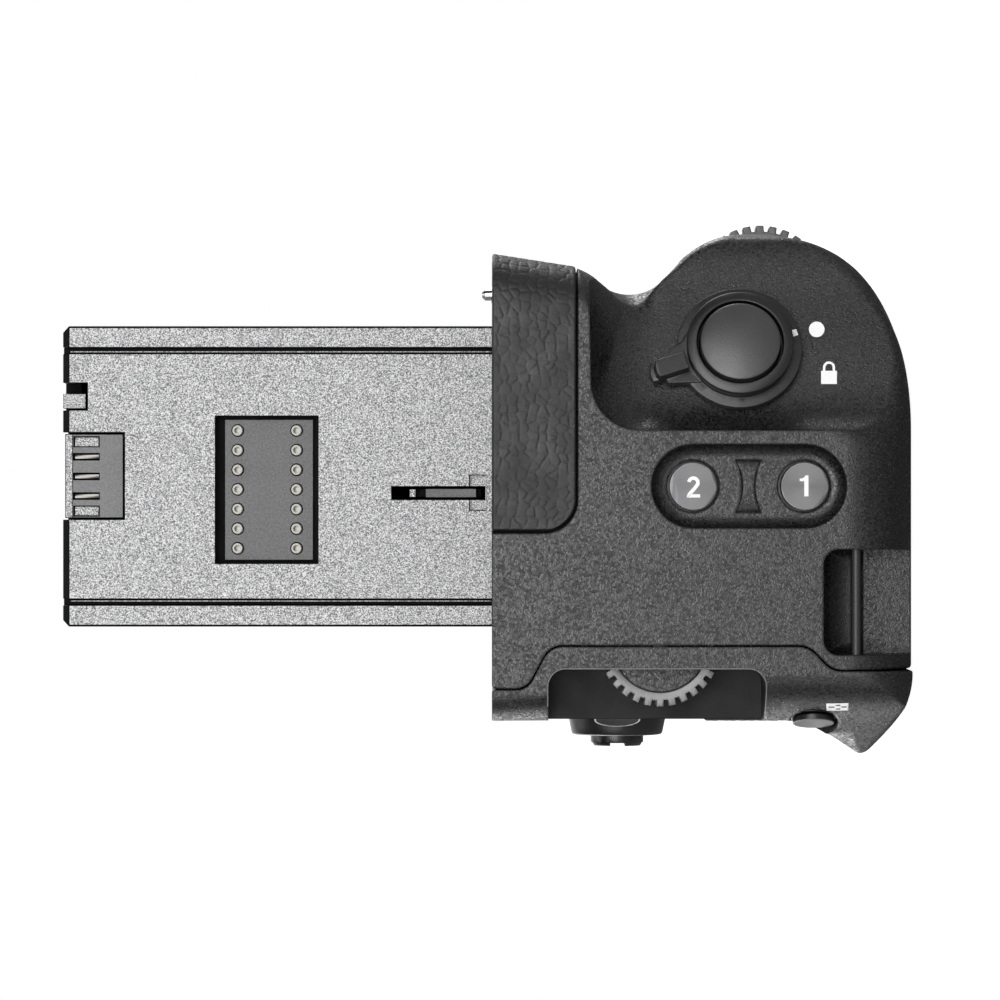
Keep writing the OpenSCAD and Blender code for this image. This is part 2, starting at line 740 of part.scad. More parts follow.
module insert_cover() {
  color("#808183")
    difference() {
      union() {
        block(insert_x - cover_t, insert_x - 0.9, cover_y0, cover_y1, mate_z, insert_z1 - 0.1);
        block(insert_x - 1, insert_x, cover_y0 + 0.75, cover_y1 - 0.75, mate_z, insert_z1);
      }
      block(insert_x - 4, insert_x + 1, window_y0, window_y1, window_z0, window_z1);
      block(insert_x - 4, insert_x + 1, slot_y - slot_w / 2, slot_y + slot_w / 2, latch_z - 0.5, latch_z + latch_l + latch_travel + 0.3);
      block(insert_x - 0.8, insert_x + 1, slot_y - 2.2, slot_y + 2.3, 53.2, 55.4);
      block(insert_x - 4, insert_x + 1, 4.4, 15.5, 99.2, insert_z1 + 1);
      block(insert_x - 4, insert_x + 1, notch_y0, notch_y1, notch_z, insert_z1 + 1);
      tip_chamfer(cover_y0 - 1, cover_y1 + 1);
    }
}

module contact_block() {
  color("#4b4c4e")
    difference() {
      union() {
        block(insert_x - 8, insert_x - 1.4, -0.7, 17.1, 75.35, 86.5);
        block(insert_x - 3.4, insert_x - cover_t, window_y0 - 1, window_y1 + 1, window_z0 - 1, window_z1 + 1);
      }
      for (z = pin_z)
        for (i = [0:6])
          rod_x(insert_x - 9, pin_y0 + i * pin_pitch, z, pin_r + run, 10);
    }
}

module contact_pins() {
  color("#c9c3ae")
    for (z = pin_z)
      for (i = [0:6])
        difference() {
          rod_x(insert_x - 9.6, pin_y0 + i * pin_pitch, z, pin_r, 8.6);
          rod_x(insert_x - 1.6, pin_y0 + i * pin_pitch, z, pin_r * 0.55, 1);
        }
}

term_y = [5.5, 7.4, 9.9, 12.4, 14.3];
term_w = [1.2, 0.78, 0.78, 0.78, 1.2];
term_d = [1, 3.6, 3.6, 3.6, 1];

module terminal_block() {
  color("#5d5e60")
    difference() {
      block(insert_x - 8, insert_x - 0.5, 4.6, 15.3, 99.4, insert_z1 - 0.2);
      for (i = [0:4])
        block(insert_x - term_d[i], insert_x + 1, term_y[i] - term_w[i] / 2, term_y[i] + term_w[i] / 2, term_z0, term_z1);
      block(insert_x - 1.5, insert_x + 1, 4, 16, 105.9, insert_z1 + 1);
    }
}

module terminal_blades() {
  color("#d6cfb4")
    for (i = [1:3])
      block(insert_x - term_d[i], insert_x - 0.8, term_y[i] - 0.25, term_y[i] + 0.25, term_z0, term_z1 - 0.1);
}

module insert_latch() {
  color("#8d8e90")
    difference() {
      union() {
        block(insert_x - 3.4, insert_x - 0.7, slot_y - latch_w / 2, slot_y + latch_w / 2, latch_z, latch_z + latch_l);
        block(insert_x - 0.8, insert_x - 0.1, slot_y - latch_w / 2, slot_y + latch_w / 2, latch_z + 8.3, latch_z + latch_l);
      }
      block(insert_x - 1.5, insert_x, slot_y - 2, slot_y + 2, latch_z + 7.1, latch_z + 8.3);
      translate([insert_x - 0.7, slot_y + 2, latch_z])
        rotate([90, 0, 0])
          cylinder(r = 0.6, h = 4);
    }
}

module shutter_escutcheon() {
  color("#1d1d1f")
    shutter_frame()
      difference() {
        union() {
          tube(esc_r, esc_low, 3);
          tube(esc_flange_r, -1.2, -0.05);
          tube(collar_top_r, 2.35, 3.6);
          translate([0, 0, 3.6])
            cylinder(r1 = collar_top_r, r2 = cap_r + cap_shadow, h = 0.3);
        }
        tube(cap_r + cap_gap, esc_low + 1, 5);
        tube(cap_r + cap_shadow, 2.2, 5);
        tube(stem_r + run, esc_low - 1, 0);
      }
}

module shutter_button() {
  color("#4a4a4c")
    shutter_frame() {
      intersection() {
        tube(cap_r, 1, cap_top);
        translate([0, 0, cap_top - dome_r])
          sphere(r = dome_r, $fn = 96);
      }
      tube(stem_r, -6, 1);
    }
}

module shutter_clip() {
  color("#a9a9ab")
    shutter_frame()
      difference() {
        tube(stem_r + 1.2, -4.2, -3.7);
        tube(stem_r, -5, -3);
        translate([0, -stem_r * 0.6, -5])
          cube([5, stem_r * 1.2, 3]);
      }
}

module shutter_switch() {
  color("#242426")
    shutter_frame()
      difference() {
        tube(4.6, switch_top - 3, switch_top);
        tube(stem_r + run, switch_top - 1.4 - shutter_travel + 0.4, switch_top + 1);
      }
}

module lock_lever() {
  color("#303032")
    shutter_frame()
      difference() {
        union() {
          tube(lever_r, 0.25, 1.5);
          tube(lever_r - 1.3, 1.4, 2.1);
          rotate([0, 0, lever_angle]) {
            translate([0, 0, 0.5])
              linear_extrude(1.2)
                polygon([[5, -4.3], [6.5, -2.95], [10.1, -1.55], [11.3, -1.4], [11.7, -0.2], [11.6, 1], [10, 1.05], [9.9, 1.7],
                  [6.1, 2.8], [4, 2.8]]);
            translate([0, 0, 0.5])
              linear_extrude(2.9)
                polygon([[7, -1.1], [10.6, -1.1], [11, -0.7], [11.1, 0.5], [10.8, 1.1], [7, 1.1]]);
          }
        }
        tube(esc_r + cap_gap, 0, 6);
      }
}

module custom_button(z) {
  rod_x(end_room_x + 1.4, custom_y, z, custom_r, 2.9);
  rod_x(end_room_x + 0.6, custom_y, z, flange_r, 0.8);
  rod_x(switch_x + 2.4, custom_y, z, 1.25, end_room_x + 0.7 - switch_x - 2.4);
}

module custom_button_1() {
  color("#8e8e90")
    custom_button(custom_z1);
}

module custom_button_2() {
  color("#8e8e90")
    custom_button(custom_z2);
}

module end_board() {
  color("#2e5a3c")
    block(board_x, switch_x, 2.3, 14.9, 7.1, 34.9);
}

module tact_switches() {
  color("#242426")
    for (z = [custom_z1, custom_z2])
      difference() {
        block(switch_x, switch_x + 3, custom_y - 2.5, custom_y + 2.5, z - 2.5, z + 2.5);
        rod_x(switch_x + 1.2, custom_y, z, 1.25 + run, 3);
      }
}

module front_dial() {
  color("#7e7f81")
    translate([front_dial_x, front_dial_y, front_dial_z])
      rotate([0, 90, 0])
        difference() {
          toothed(front_dial_r, front_dial_w, 32, tooth);
          tube(axle_r + run, -1, 8);
        }
}

module front_dial_axle() {
  color("#a9a9ab")
    rod_x(front_dial_x - 4, front_dial_y, front_dial_z, axle_r, front_dial_w + 7.5);
}

module rear_dial() {
  color("#9c9d9f")
    translate([rear_dial_x, rear_dial_y, rear_dial_z])
      rotate([0, 90, 0])
        difference() {
          rotate([0, 0, 6])
            toothed(rear_dial_r, rear_dial_w, 30, tooth);
          tube(rear_dial_r - 1.7, -1, 8);
        }
}

module rear_dial_cap() {
  color("#39393b")
    difference() {
      rod_x(rear_dial_x, rear_dial_y, rear_dial_z, rear_dial_r - 1.7, rear_dial_w - 0.2);
      rod_x(rear_dial_x - 1, rear_dial_y, rear_dial_z, axle_r + run, 8);
    }
}

module rear_dial_axle() {
  color("#a9a9ab")
    rod_x(end_x - 13, rear_dial_y, rear_dial_z, axle_r, 11.6);
}

module joystick_collar() {
  color("#1f1f21")
    stick_frame()
      difference() {
        union() {
          cylinder(r1 = collar_r, r2 = collar_r - 0.6, h = collar_h);
          tube(collar_r - 2, -wall, 0.1);
        }
        tube(stick_stem_r + 1.4, -4, collar_h + 1);
        tube(collar_r - 1.55, collar_h - 1.5, collar_h + 1);
      }
}

module joystick_housing() {
  color("#2a2a2c")
    difference() {
      block(stick_x - 6, stick_x + 6, cavity_y0 + 0.1, cavity_y0 + 6, stick_z - 5.5, stick_z + 5.5);
      block(stick_x - 4.4, stick_x + 4.4, cavity_y0 - 1, cavity_y0 + 4.6, stick_z - 4.2, stick_z + 4.2);
      translate([stick_x, back_y + pivot_in, stick_z - 5])
        cylinder(r = gimbal_pin_r + run, h = 10);
    }
}

module joystick_gimbal() {
  color("#77787a")
    difference() {
      union() {
        block(stick_x - 3.6, stick_x + 3.6, back_y + pivot_in - 0.9, back_y + pivot_in + 0.9, stick_z - 3.6, stick_z + 3.6);
        translate([stick_x, back_y + pivot_in, stick_z - 4.9])
          cylinder(r = gimbal_pin_r, h = 9.8);
      }
      block(stick_x - 2.4, stick_x + 2.4, back_y + 1, back_y + 8, stick_z - 2.4, stick_z + 2.4);
      rod_x(stick_x - 5, back_y + pivot_in, stick_z, gimbal_pin_r + run, 10);
    }
}

module joystick_rocker() {
  color("#a9a9ab") {
    rod_x(stick_x - 3.5, back_y + pivot_in, stick_z, gimbal_pin_r, 7);
    translate([stick_x, back_y + pivot_in, stick_z])
      rotate([90, 0, 0])
        tube(stick_stem_r, -0.6, pivot_in + collar_h + 0.35);
    block(stick_x - 1.9, stick_x + 1.9, back_y + pivot_in - 0.7, back_y + pivot_in + 0.7, stick_z - 1.5, stick_z + 1.5);
  }
}

module joystick_cap() {
  color("#2a2a2c")
    stick_frame()
      difference() {
        union() {
          tube(stick_r, collar_h - 0.35, collar_h + 0.95);
          translate([0, 0, collar_h + 0.95])
            cylinder(r1 = stick_r, r2 = stick_r - 0.3, h = 0.5);
        }
        tube(stick_stem_r + run, 0, collar_h + 0.7);
        for (a = [0, 90])
          rotate([0, 0, a])
            translate([-5, -0.95, collar_h + 1.05])
              cube([10, 1.9, 1]);
      }
}

module focus_button() {
  color("#303032")
    focus_frame() {
      difference() {
        tube(focus_r, -3.6, focus_top);
        translate([0, 0, focus_top + 14])
          sphere(r = 14.25, $fn = 96);
      }
      tube(focus_r + 0.7, -4.4, -3.6);
      tube(1, -6, -3.4);
    }
}

module focus_switch() {
  color("#242426")
    difference() {
      union() {
        focus_frame()
          tube(2.6, -7.4, -5.2);
        block(focus_x - 4, focus_x - 1.2, cavity_y0 + 4.2, cavity_y0 + 6, focus_z - 1.5, focus_z + 1.5);
      }
      focus_frame()
        tube(1 + run, -7, -5);
    }
}

module exposure_button() {
  color("#303032")
    expo_frame() {
      difference() {
        tube(back_button_r, -2.4, 0.3);
        translate([0, 0, 0.3 + 14])
          sphere(r = 14.25, $fn = 96);
      }
      tube(1, -4.6, -2.4);
    }
}

module exposure_switch() {
  color("#242426")
    expo_frame()
      difference() {
        tube(expo_switch_r, -expo_floor, -3.9);
        tube(1 + run, -5.15, -3);
      }
}

module rear_board() {
  color("#2e5a3c")
    block(stick_x - 6, cavity_x1 - 0.2, cavity_y0 + 6, cavity_y0 + 7, stick_z - 5.5, stick_z + 5.5);
}

module main_board() {
  color("#2e5a3c")
    block(cavity_x0 + 0.1, cavity_x1 - 6, 16, 17.2, cavity_z0, cavity_z1 - 1.5);
}

module bay_contact_blocks() {
  color("#242426")
    for (y = bay_block_y)
      block(bay_x, cavity_x0, y + 0.1, y + 9.9, 16.1, 29.9);
}

module bay_contacts() {
  color("#d6cfb4")
    for (y = bay_block_y)
      for (z = [18.5, 23, 27.5])
        block(bay_x - 0.9, bay_x, y + 2, y + 8, z - 0.4, z + 0.4);
}

module camera_screw() {
  color("#b4b4b6") {
    tube(hub_r, wheel_z0, mate_z + step_up);
    tube(screw_r, mate_z + step_up, mate_z + screw_up - 0.6);
    translate([0, 0, mate_z + screw_up - 0.6])
      cylinder(r1 = screw_r, r2 = screw_r - 0.6, h = 0.6);
    tube(2, 43.2, wheel_z0);
  }
}

module screw_wheel() {
  color("#2d2d2f")
    translate([0, 0, wheel_z0])
      difference() {
        toothed(wheel_r, wheel_h, 60, 0.6);
        tube(hub_r, -1, 8);
        difference() {
          tube(wheel_r - 4, 2, 8);
          tube(screw_r + 2.5, 0, 9);
        }
      }
}

tray_y0 = bay_y0 + tray_gap;
tray_y1 = bay_y1 - tray_gap;
tray_z0 = bay_z0 + tray_gap;
tray_z1 = bay_z1 - tray_gap;
well_x = -tray_x + door_t + 0.5;

module battery_tray() {
  color("#2d2d2f")
    difference() {
      block(-tray_x + door_t, bay_x - 0.3, tray_y0, tray_y1, tray_z0, tray_z1);
      block(well_x, well_x + well_l, tray_y0 - 1, tray_y0 + well_t, tray_z0 + tray_wall, tray_z1 - tray_wall);
      block(well_x, well_x + well_l, tray_y1 - well_t, tray_y1 + 1, tray_z0 + tray_wall, tray_z1 - tray_wall);
      for (y = bay_block_y)
        block(bay_x - 4, bay_x + 1, y + 1, y + 9, 16, 30);
    }
}

module tray_door() {
  color("#39393b")
    difference() {
      block(-tray_x, -tray_x + door_t, tray_y0, tray_y1, tray_z0, tray_z1);
      block(-tray_x - 1, -tray_x + 2, 1, 9, 14, 34);
    }
}

module tray_latch() {
  color("#2d2d2f")
    difference() {
      block(-tray_x + 0.2, -tray_x + 2, 1.2, 8.8, 14.2, 28.2);
      for (z = [16.5:1.6:26])
        block(-tray_x - 1, -tray_x + 0.6, 2.4, 7.6, z, z + 0.7);
    }
}

front_shell();
rear_cover();
bottom_plate();
grip_rubber();
hand_pad();
thumb_pad();
strap_bar();
locating_pins();
top_screws();
base_screws();
tripod_bush();
insert_body();
insert_cover();
contact_block();
contact_pins();
terminal_block();
terminal_blades();
insert_latch();
shutter_escutcheon();
shutter_button();
shutter_clip();
shutter_switch();
lock_lever();
custom_button_1();
custom_button_2();
end_board();
tact_switches();
front_dial();
front_dial_axle();
rear_dial();
rear_dial_cap();
rear_dial_axle();
joystick_collar();
joystick_housing();
joystick_gimbal();
joystick_rocker();
joystick_cap();
focus_button();
focus_switch();
exposure_button();
exposure_switch();
rear_board();
main_board();
bay_contact_blocks();
bay_contacts();
camera_screw();
screw_wheel();
battery_tray();
tray_door();
tray_latch();
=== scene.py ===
import math

import bmesh
import bpy
import numpy as np
from mathutils import Matrix, Vector
from mathutils.bvhtree import BVHTree


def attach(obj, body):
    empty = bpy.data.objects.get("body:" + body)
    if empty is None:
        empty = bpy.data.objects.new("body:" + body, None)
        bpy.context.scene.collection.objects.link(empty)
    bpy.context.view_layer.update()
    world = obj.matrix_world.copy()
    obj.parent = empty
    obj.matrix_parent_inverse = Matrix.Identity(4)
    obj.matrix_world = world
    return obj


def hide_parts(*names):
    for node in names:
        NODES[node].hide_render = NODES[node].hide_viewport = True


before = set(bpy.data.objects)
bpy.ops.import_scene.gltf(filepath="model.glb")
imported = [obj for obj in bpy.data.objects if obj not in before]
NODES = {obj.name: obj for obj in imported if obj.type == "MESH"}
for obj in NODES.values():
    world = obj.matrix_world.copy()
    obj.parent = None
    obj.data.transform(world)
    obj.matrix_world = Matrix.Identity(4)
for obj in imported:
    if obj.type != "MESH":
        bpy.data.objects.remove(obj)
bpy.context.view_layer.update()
MM = 0.001
scene = bpy.context.scene
scene.view_settings.view_transform = "Standard"


# Materials

def new_mat(name):
    m = bpy.data.materials.new(name)
    m.use_nodes = True
    nt = m.node_tree
    return m, nt, nt.nodes["Principled BSDF"]


def add(nt, kind, **values):
    n = nt.nodes.new(kind)
    for k, v in values.items():
        if k in n.inputs:
            n.inputs[k].default_value = v
        else:
            setattr(n, k, v)
    return n


def link(nt, a, out, b, into):
    nt.links.new(a.outputs[out], b.inputs[into])


def ramp_node(nt, src, stops):
    r = add(nt, "ShaderNodeValToRGB")
    el = r.color_ramp.elements
    while len(el) < len(stops):
        el.new(0.5)
    for e, (p, c) in zip(el, stops):
        e.position = p
        e.color = (*c, 1)
    nt.links.new(src, r.inputs["Fac"])
    return r.outputs["Color"]


def noise(nt, coord, scale, detail=2.0, rough=0.5):
    n = add(nt, "ShaderNodeTexNoise", Scale=scale, Detail=detail, Roughness=rough)
    nt.links.new(coord, n.inputs["Vector"])
    return n.outputs["Fac"]


def bump(nt, height, distance, strength, normal=None):
    b = add(nt, "ShaderNodeBump", Distance=distance, Strength=strength)
    nt.links.new(height, b.inputs["Height"])
    if normal is not None:
        nt.links.new(normal, b.inputs["Normal"])
    return b.outputs["Normal"]


def grain(name, dark, light, rough, scale, depth, glint_speck=None, edge=0.0, spec=0.5, rough_var=0.12, detail=3.0,
          sparkle=0.0):
    """Moulded plastic with fine grain; a third colour adds bright dots, the grain shown as painted glints;
    sparkle varies the gloss grain by grain.
    """
    m, nt, p = new_mat(name)
    co = add(nt, "ShaderNodeTexCoord").outputs["Object"]
    fine = noise(nt, co, scale, detail, 0.6)
    col = ramp_node(nt, fine, [(0.36, dark), (0.66, light)])
    # Bright dots added to the colour: painted glints of the grain.
    if glint_speck is not None:
        dots = ramp_node(nt, noise(nt, co, scale * 1.35, 1.0, 0.4), [(0.55, (0, 0, 0)), (0.66, (1, 1, 1))])
        mix = add(nt, "ShaderNodeMixRGB")
        nt.links.new(dots, mix.inputs["Fac"])
        nt.links.new(col, mix.inputs["Color1"])
        mix.inputs["Color2"].default_value = (*glint_speck, 1)
        col = mix.outputs["Color"]
    nt.links.new(col, p.inputs["Base Color"])
    broad = noise(nt, co, scale * 0.05, 2.0, 0.5)
    r = ramp_node(nt, broad, [(0.3, (rough - rough_var / 2,) * 3), (0.7, (rough + rough_var / 2,) * 3)])
    if sparkle > 0:
        cells = add(nt, "ShaderNodeTexVoronoi", Scale=scale * 0.8)
        nt.links.new(co, cells.inputs["Vector"])
        pick = add(nt, "ShaderNodeSeparateXYZ")
        link(nt, cells, "Color", pick, "Vector")
        gloss = ramp_node(nt, pick.outputs["X"], [(0.1, (sparkle,) * 3), (0.95, (0, 0, 0))])
        total = add(nt, "ShaderNodeMath", operation="ADD", use_clamp=True)
        nt.links.new(r, total.inputs[0])
        nt.links.new(gloss, total.inputs[1])
        r = total.outputs["Value"]
    nt.links.new(r, p.inputs["Roughness"])
    p.inputs["Specular IOR Level"].default_value = spec
    base = None
    if edge > 0:
        bev = add(nt, "ShaderNodeBevel", samples=6, Radius=edge)
        base = bev.outputs["Normal"]
    nt.links.new(bump(nt, fine, depth, 0.9, base), p.inputs["Normal"])
    return m


def metal(name, colour, rough, scale, stretch=(1, 1, 1), depth=0.00001, metallic=1.0, edge=0.0):
    """Metal with a fine, if wanted stretched, grain in colour, gloss and height."""
    m, nt, p = new_mat(name)
    co = add(nt, "ShaderNodeTexCoord").outputs["Object"]
    mp = add(nt, "ShaderNodeMapping", Scale=stretch)
    nt.links.new(co, mp.inputs["Vector"])
    f = noise(nt, mp.outputs["Vector"], scale, 3.0, 0.6)
    lo = tuple(c * 0.82 for c in colour)
    nt.links.new(ramp_node(nt, f, [(0.3, lo), (0.7, colour)]), p.inputs["Base Color"])
    gloss = ramp_node(nt, f, [(0.2, (rough * 0.85,) * 3), (0.8, (min(1, rough * 1.15),) * 3)])
    nt.links.new(gloss, p.inputs["Roughness"])
    p.inputs["Metallic"].default_value = metallic
    base = add(nt, "ShaderNodeBevel", samples=6, Radius=edge).outputs["Normal"] if edge > 0 else None
    nt.links.new(bump(nt, f, depth, 0.6, base), p.inputs["Normal"])
    return m


def spun(name, colour, axis_y, axis_z):
    """Metal turned on a lathe: rings round an X axis through axis_y, axis_z."""
    m, nt, p = new_mat(name)
    co = add(nt, "ShaderNodeTexCoord").outputs["Object"]
    mp = add(nt, "ShaderNodeMapping", Location=(0, -axis_y, -axis_z))
    nt.links.new(co, mp.inputs["Vector"])
    sep = add(nt, "ShaderNodeSeparateXYZ")
    link(nt, mp, "Vector", sep, "Vector")
    comb = add(nt, "ShaderNodeCombineXYZ")
    link(nt, sep, "Y", comb, "Y")
    link(nt, sep, "Z", comb, "Z")
    ln = add(nt, "ShaderNodeVectorMath", operation="LENGTH")
    link(nt, comb, "Vector", ln, 0)
    f = noise(nt, ln.outputs["Value"], 16000, 2.0, 0.6)
    lo = tuple(c * 0.85 for c in colour)
    nt.links.new(ramp_node(nt, f, [(0.3, lo), (0.7, colour)]), p.inputs["Base Color"])
    p.inputs["Metallic"].default_value = 0.85
    p.inputs["Roughness"].default_value = 0.42
    p.inputs["Anisotropic"].default_value = 0.75
    tan = add(nt, "ShaderNodeTangent", direction_type="RADIAL", axis="X")
    link(nt, tan, "Tangent", p, "Tangent")
    nt.links.new(bump(nt, f, 0.000004, 0.5), p.inputs["Normal"])
    return m


# Shell plastic: its bright dots are painted glints of the grain.
M_SHELL = grain("shell_plastic", (0.002, 0.002, 0.0021), (0.006, 0.006, 0.0062), 0.26, 4200, 0.00004,
                glint_speck=(0.032, 0.032, 0.0326), edge=0.0004, spec=0.68, detail=1.0, sparkle=0.38,
                rough_var=0.06)
M_SMOOTH = grain("smooth_plastic", (0.006, 0.006, 0.0062), (0.010, 0.010, 0.0105), 0.45, 5200, 0.000012,
                 edge=0.0002, spec=0.18)
M_VOID = grain("deep_shadow", (0.003, 0.003, 0.0031), (0.005, 0.005, 0.0052), 0.7, 4200, 0.00002, spec=0.1)
M_DARK = grain("dark_plastic", (0.003, 0.003, 0.0031), (0.007, 0.007, 0.0073), 0.38, 5200, 0.00002,
               edge=0.0002, spec=0.72)
M_LEATHER = grain("pebbled_rubber", (0.006, 0.006, 0.0062), (0.014, 0.014, 0.0145), 0.5, 5200, 0.00003,
                  rough_var=0.16)
M_INSERT = grain("insert_plastic", (0.11, 0.111, 0.113), (0.84, 0.844, 0.85), 0.6, 6600, 0.00002,
                 spec=0.3, detail=1.0)
M_BLOCK = grain("block_plastic", (0.115, 0.115, 0.117), (0.185, 0.185, 0.188), 0.55, 4200, 0.00002, spec=0.35)
M_TERMINAL = grain("terminal_plastic", (0.16, 0.16, 0.163), (0.22, 0.22, 0.224), 0.55, 4200, 0.00002,
                   spec=0.35)
M_BOARD = grain("solder_mask", (0.012, 0.07, 0.03), (0.02, 0.1, 0.045), 0.35, 1800, 0.00002)
M_STEEL = metal("turned_steel", (0.2, 0.2, 0.204), 0.3, 2500, (1, 1, 6), edge=0.0001)
M_PIN = metal("polished_pin", (0.5, 0.5, 0.505), 0.2, 2500)
M_SCREW = metal("screw_steel", (0.22, 0.22, 0.225), 0.35, 3000, edge=0.0001)
M_CONTACT = metal("plated_contact", (0.2, 0.195, 0.18), 0.35, 4000)
M_DIAL = metal("dial_alloy", (0.26, 0.26, 0.264), 0.5, 4500, metallic=0.6, edge=0.00015)
M_FDIAL = metal("front_dial_alloy", (0.15, 0.15, 0.153), 0.5, 4500, metallic=0.5, edge=0.00015)
M_CAP = grain("shutter_cap", (0.026, 0.026, 0.0265), (0.036, 0.036, 0.0366), 0.42, 5200, 0.00003,
              edge=0.0003, spec=0.95)
# Lighter grey for the exposure button's face: a painted sheen on black plastic.
M_EXPO_SHEEN = grain("button_face", (0.09, 0.09, 0.092), (0.12, 0.12, 0.122), 0.45, 5200, 0.000012, edge=0.0002)
# Light grey for a painted highlight along an edge.
M_EDGE_HIGHLIGHT = grain("painted_edge_highlight", (0.16, 0.16, 0.163), (0.22, 0.22, 0.224), 0.45, 5200, 0.000012)
# Light grey for a painted highlight on a rim.
M_RIM_HIGHLIGHT = grain("painted_rim_highlight", (0.36, 0.36, 0.365), (0.42, 0.42, 0.425), 0.4, 5200, 0.000012)
M_WHITE = grain("white_mark", (0.94, 0.94, 0.94), (0.97, 0.97, 0.97), 0.6, 3000, 0.00001, spec=0.2)
M_BAR = metal("strap_bar_steel", (0.05, 0.05, 0.0508), 0.45, 2600, metallic=0.3)


# Meshes and cutters

def cosd(a):
    return math.cos(math.radians(a))


def sind(a):
    return math.sin(math.radians(a))


def loft_faces(n, m):
    """Faces of a closed skin over m rings of n points."""
    faces = [[k * n + i, k * n + (i + 1) % n, (k + 1) * n + (i + 1) % n, (k + 1) * n + i]
             for k in range(m - 1) for i in range(n)]
    return faces + [list(range(n))[::-1], [(m - 1) * n + i for i in range(n)]]


def rim_of(a, b):
    """Indices round the edge of a grid of a x b points."""
    return ([i * b for i in range(a)] + [(a - 1) * b + j for j in range(1, b)]
            + [i * b + b - 1 for i in range(a - 2, -1, -1)] + list(range(b - 2, 0, -1)))


def outward(ob, flat=False, split=False):
    """Turns every face outwards; split cuts up the many-sided ones, flat shades them flat."""
    bm = bmesh.new()
    bm.from_mesh(ob.data)
    if split:
        bmesh.ops.triangulate(bm, faces=[f for f in bm.faces if len(f.verts) > 4], ngon_method="EAR_CLIP")
    bmesh.ops.recalc_face_normals(bm, faces=bm.faces)
    if flat:
        for f in bm.faces:
            f.smooth = False
    bm.to_mesh(ob.data)
    bm.free()
    return ob


def make(name, verts, faces, mat, body="housing"):
    """New object from points in mm, riding on a body if one is given."""
    me = bpy.data.meshes.new(name)
    points = [tuple(float(c) * MM for c in v) for v in verts]
    me.from_pydata(points, [], [tuple(int(i) for i in f) for f in faces])
    me.update()
    ob = bpy.data.objects.new(name, me)
    scene.collection.objects.link(ob)
    if mat is not None:
        me.materials.append(mat)
        for p in me.polygons:
            p.use_smooth = True
    if body is not None:
        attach(ob, body)
    return ob


def prism(name, poly, a, b, axis="X"):
    """Closed prism over an outline, as a cutter or a small piece; the outline is (y, z), (x, z) or (x, y)."""
    n = len(poly)
    def put(p, h):
        return {"X": (h, p[0], p[1]), "Y": (p[0], h, p[1]), "Z": (p[0], p[1], h)}[axis]
    verts = [put(p, a) for p in poly] + [put(p, b) for p in poly]
    turn = sum(poly[i][0] * poly[(i + 1) % n][1] - poly[(i + 1) % n][0] * poly[i][1] for i in range(n))
    flip = (turn < 0) != (axis == "Y")
    faces = [list(range(n))[::-1], [n + i for i in range(n)]]
    faces += [[i, (i + 1) % n, n + (i + 1) % n, n + i] for i in range(n)]
    if flip:
        faces = [f[::-1] for f in faces]
    return make(name, verts, faces, None, None)


def box_cut(x0, x1, y0, y1, z0, z1):
    return prism("cut", [(y0, z0), (y1, z0), (y1, z1), (y0, z1)], x0, x1)


def disc(y, z, r, n=72):
    return [(y + r * math.cos(2 * math.pi * i / n), z + r * math.sin(2 * math.pi * i / n)) for i in range(n)]


def rod_cut(x0, x1, y, z, r):
    return prism("cut", disc(y, z, r), x0, x1)


def tube_cut(x, y, z0, z1, r, n=72):
    return prism("cut", disc(x, y, r, n), z0, z1, "Z")


def framed(ob, origin, lean, kind):
    """Puts a shape made along local Z into the frame of a tilted control."""
    rot = Matrix.Rotation(math.radians(lean), 4, "Z")
    rot = rot @ Matrix.Rotation(math.radians(90), 4, "Y" if kind == "end" else "X")
    ob.data.transform(Matrix.Translation(Vector(origin) * MM) @ rot)
    return ob


def cut(ob, cutters):
    """Takes the cutters away from a mesh and deletes them."""
    group = bpy.data.collections.new("cutters")
    scene.collection.children.link(group)
    for c in cutters:
        group.objects.link(c)
    mod = ob.modifiers.new("cut", "BOOLEAN")
    mod.operation = "DIFFERENCE"
    mod.operand_type = "COLLECTION"
    mod.collection = group
    mod.solver = "MANIFOLD"
    bpy.context.view_layer.update()
    me = bpy.data.meshes.new_from_object(ob.evaluated_get(bpy.context.evaluated_depsgraph_get()))
    ob.modifiers.clear()
    old = ob.data
    mats = list(old.materials)
    me.materials.clear()
    for m in mats:
        me.materials.append(m)
    for p in me.polygons:
        p.material_index = 0
    ob.data = me
    bpy.data.meshes.remove(old)
    for c in cutters:
        d = c.data
        bpy.data.objects.remove(c)
        bpy.data.meshes.remove(d)
    bpy.data.collections.remove(group)
    return ob


SHARP_ANGLE = math.radians(32)


def sharpen(ob):
    """Smooth shading with the steep edges kept sharp."""
    bm = bmesh.new()
    bm.from_mesh(ob.data)
    bmesh.ops.remove_doubles(bm, verts=bm.verts, dist=1e-7)
    for e in bm.edges:
        e.smooth = not (len(e.link_faces) == 2 and e.calc_face_angle(0) > SHARP_ANGLE)
    for f in bm.faces:
        f.smooth = True
    bm.to_mesh(ob.data)
    bm.free()
    w = ob.modifiers.new("normals", "WEIGHTED_NORMAL")
    w.mode = "FACE_AREA"
    w.keep_sharp = True
    return ob


# Sections of the housing, as in the part

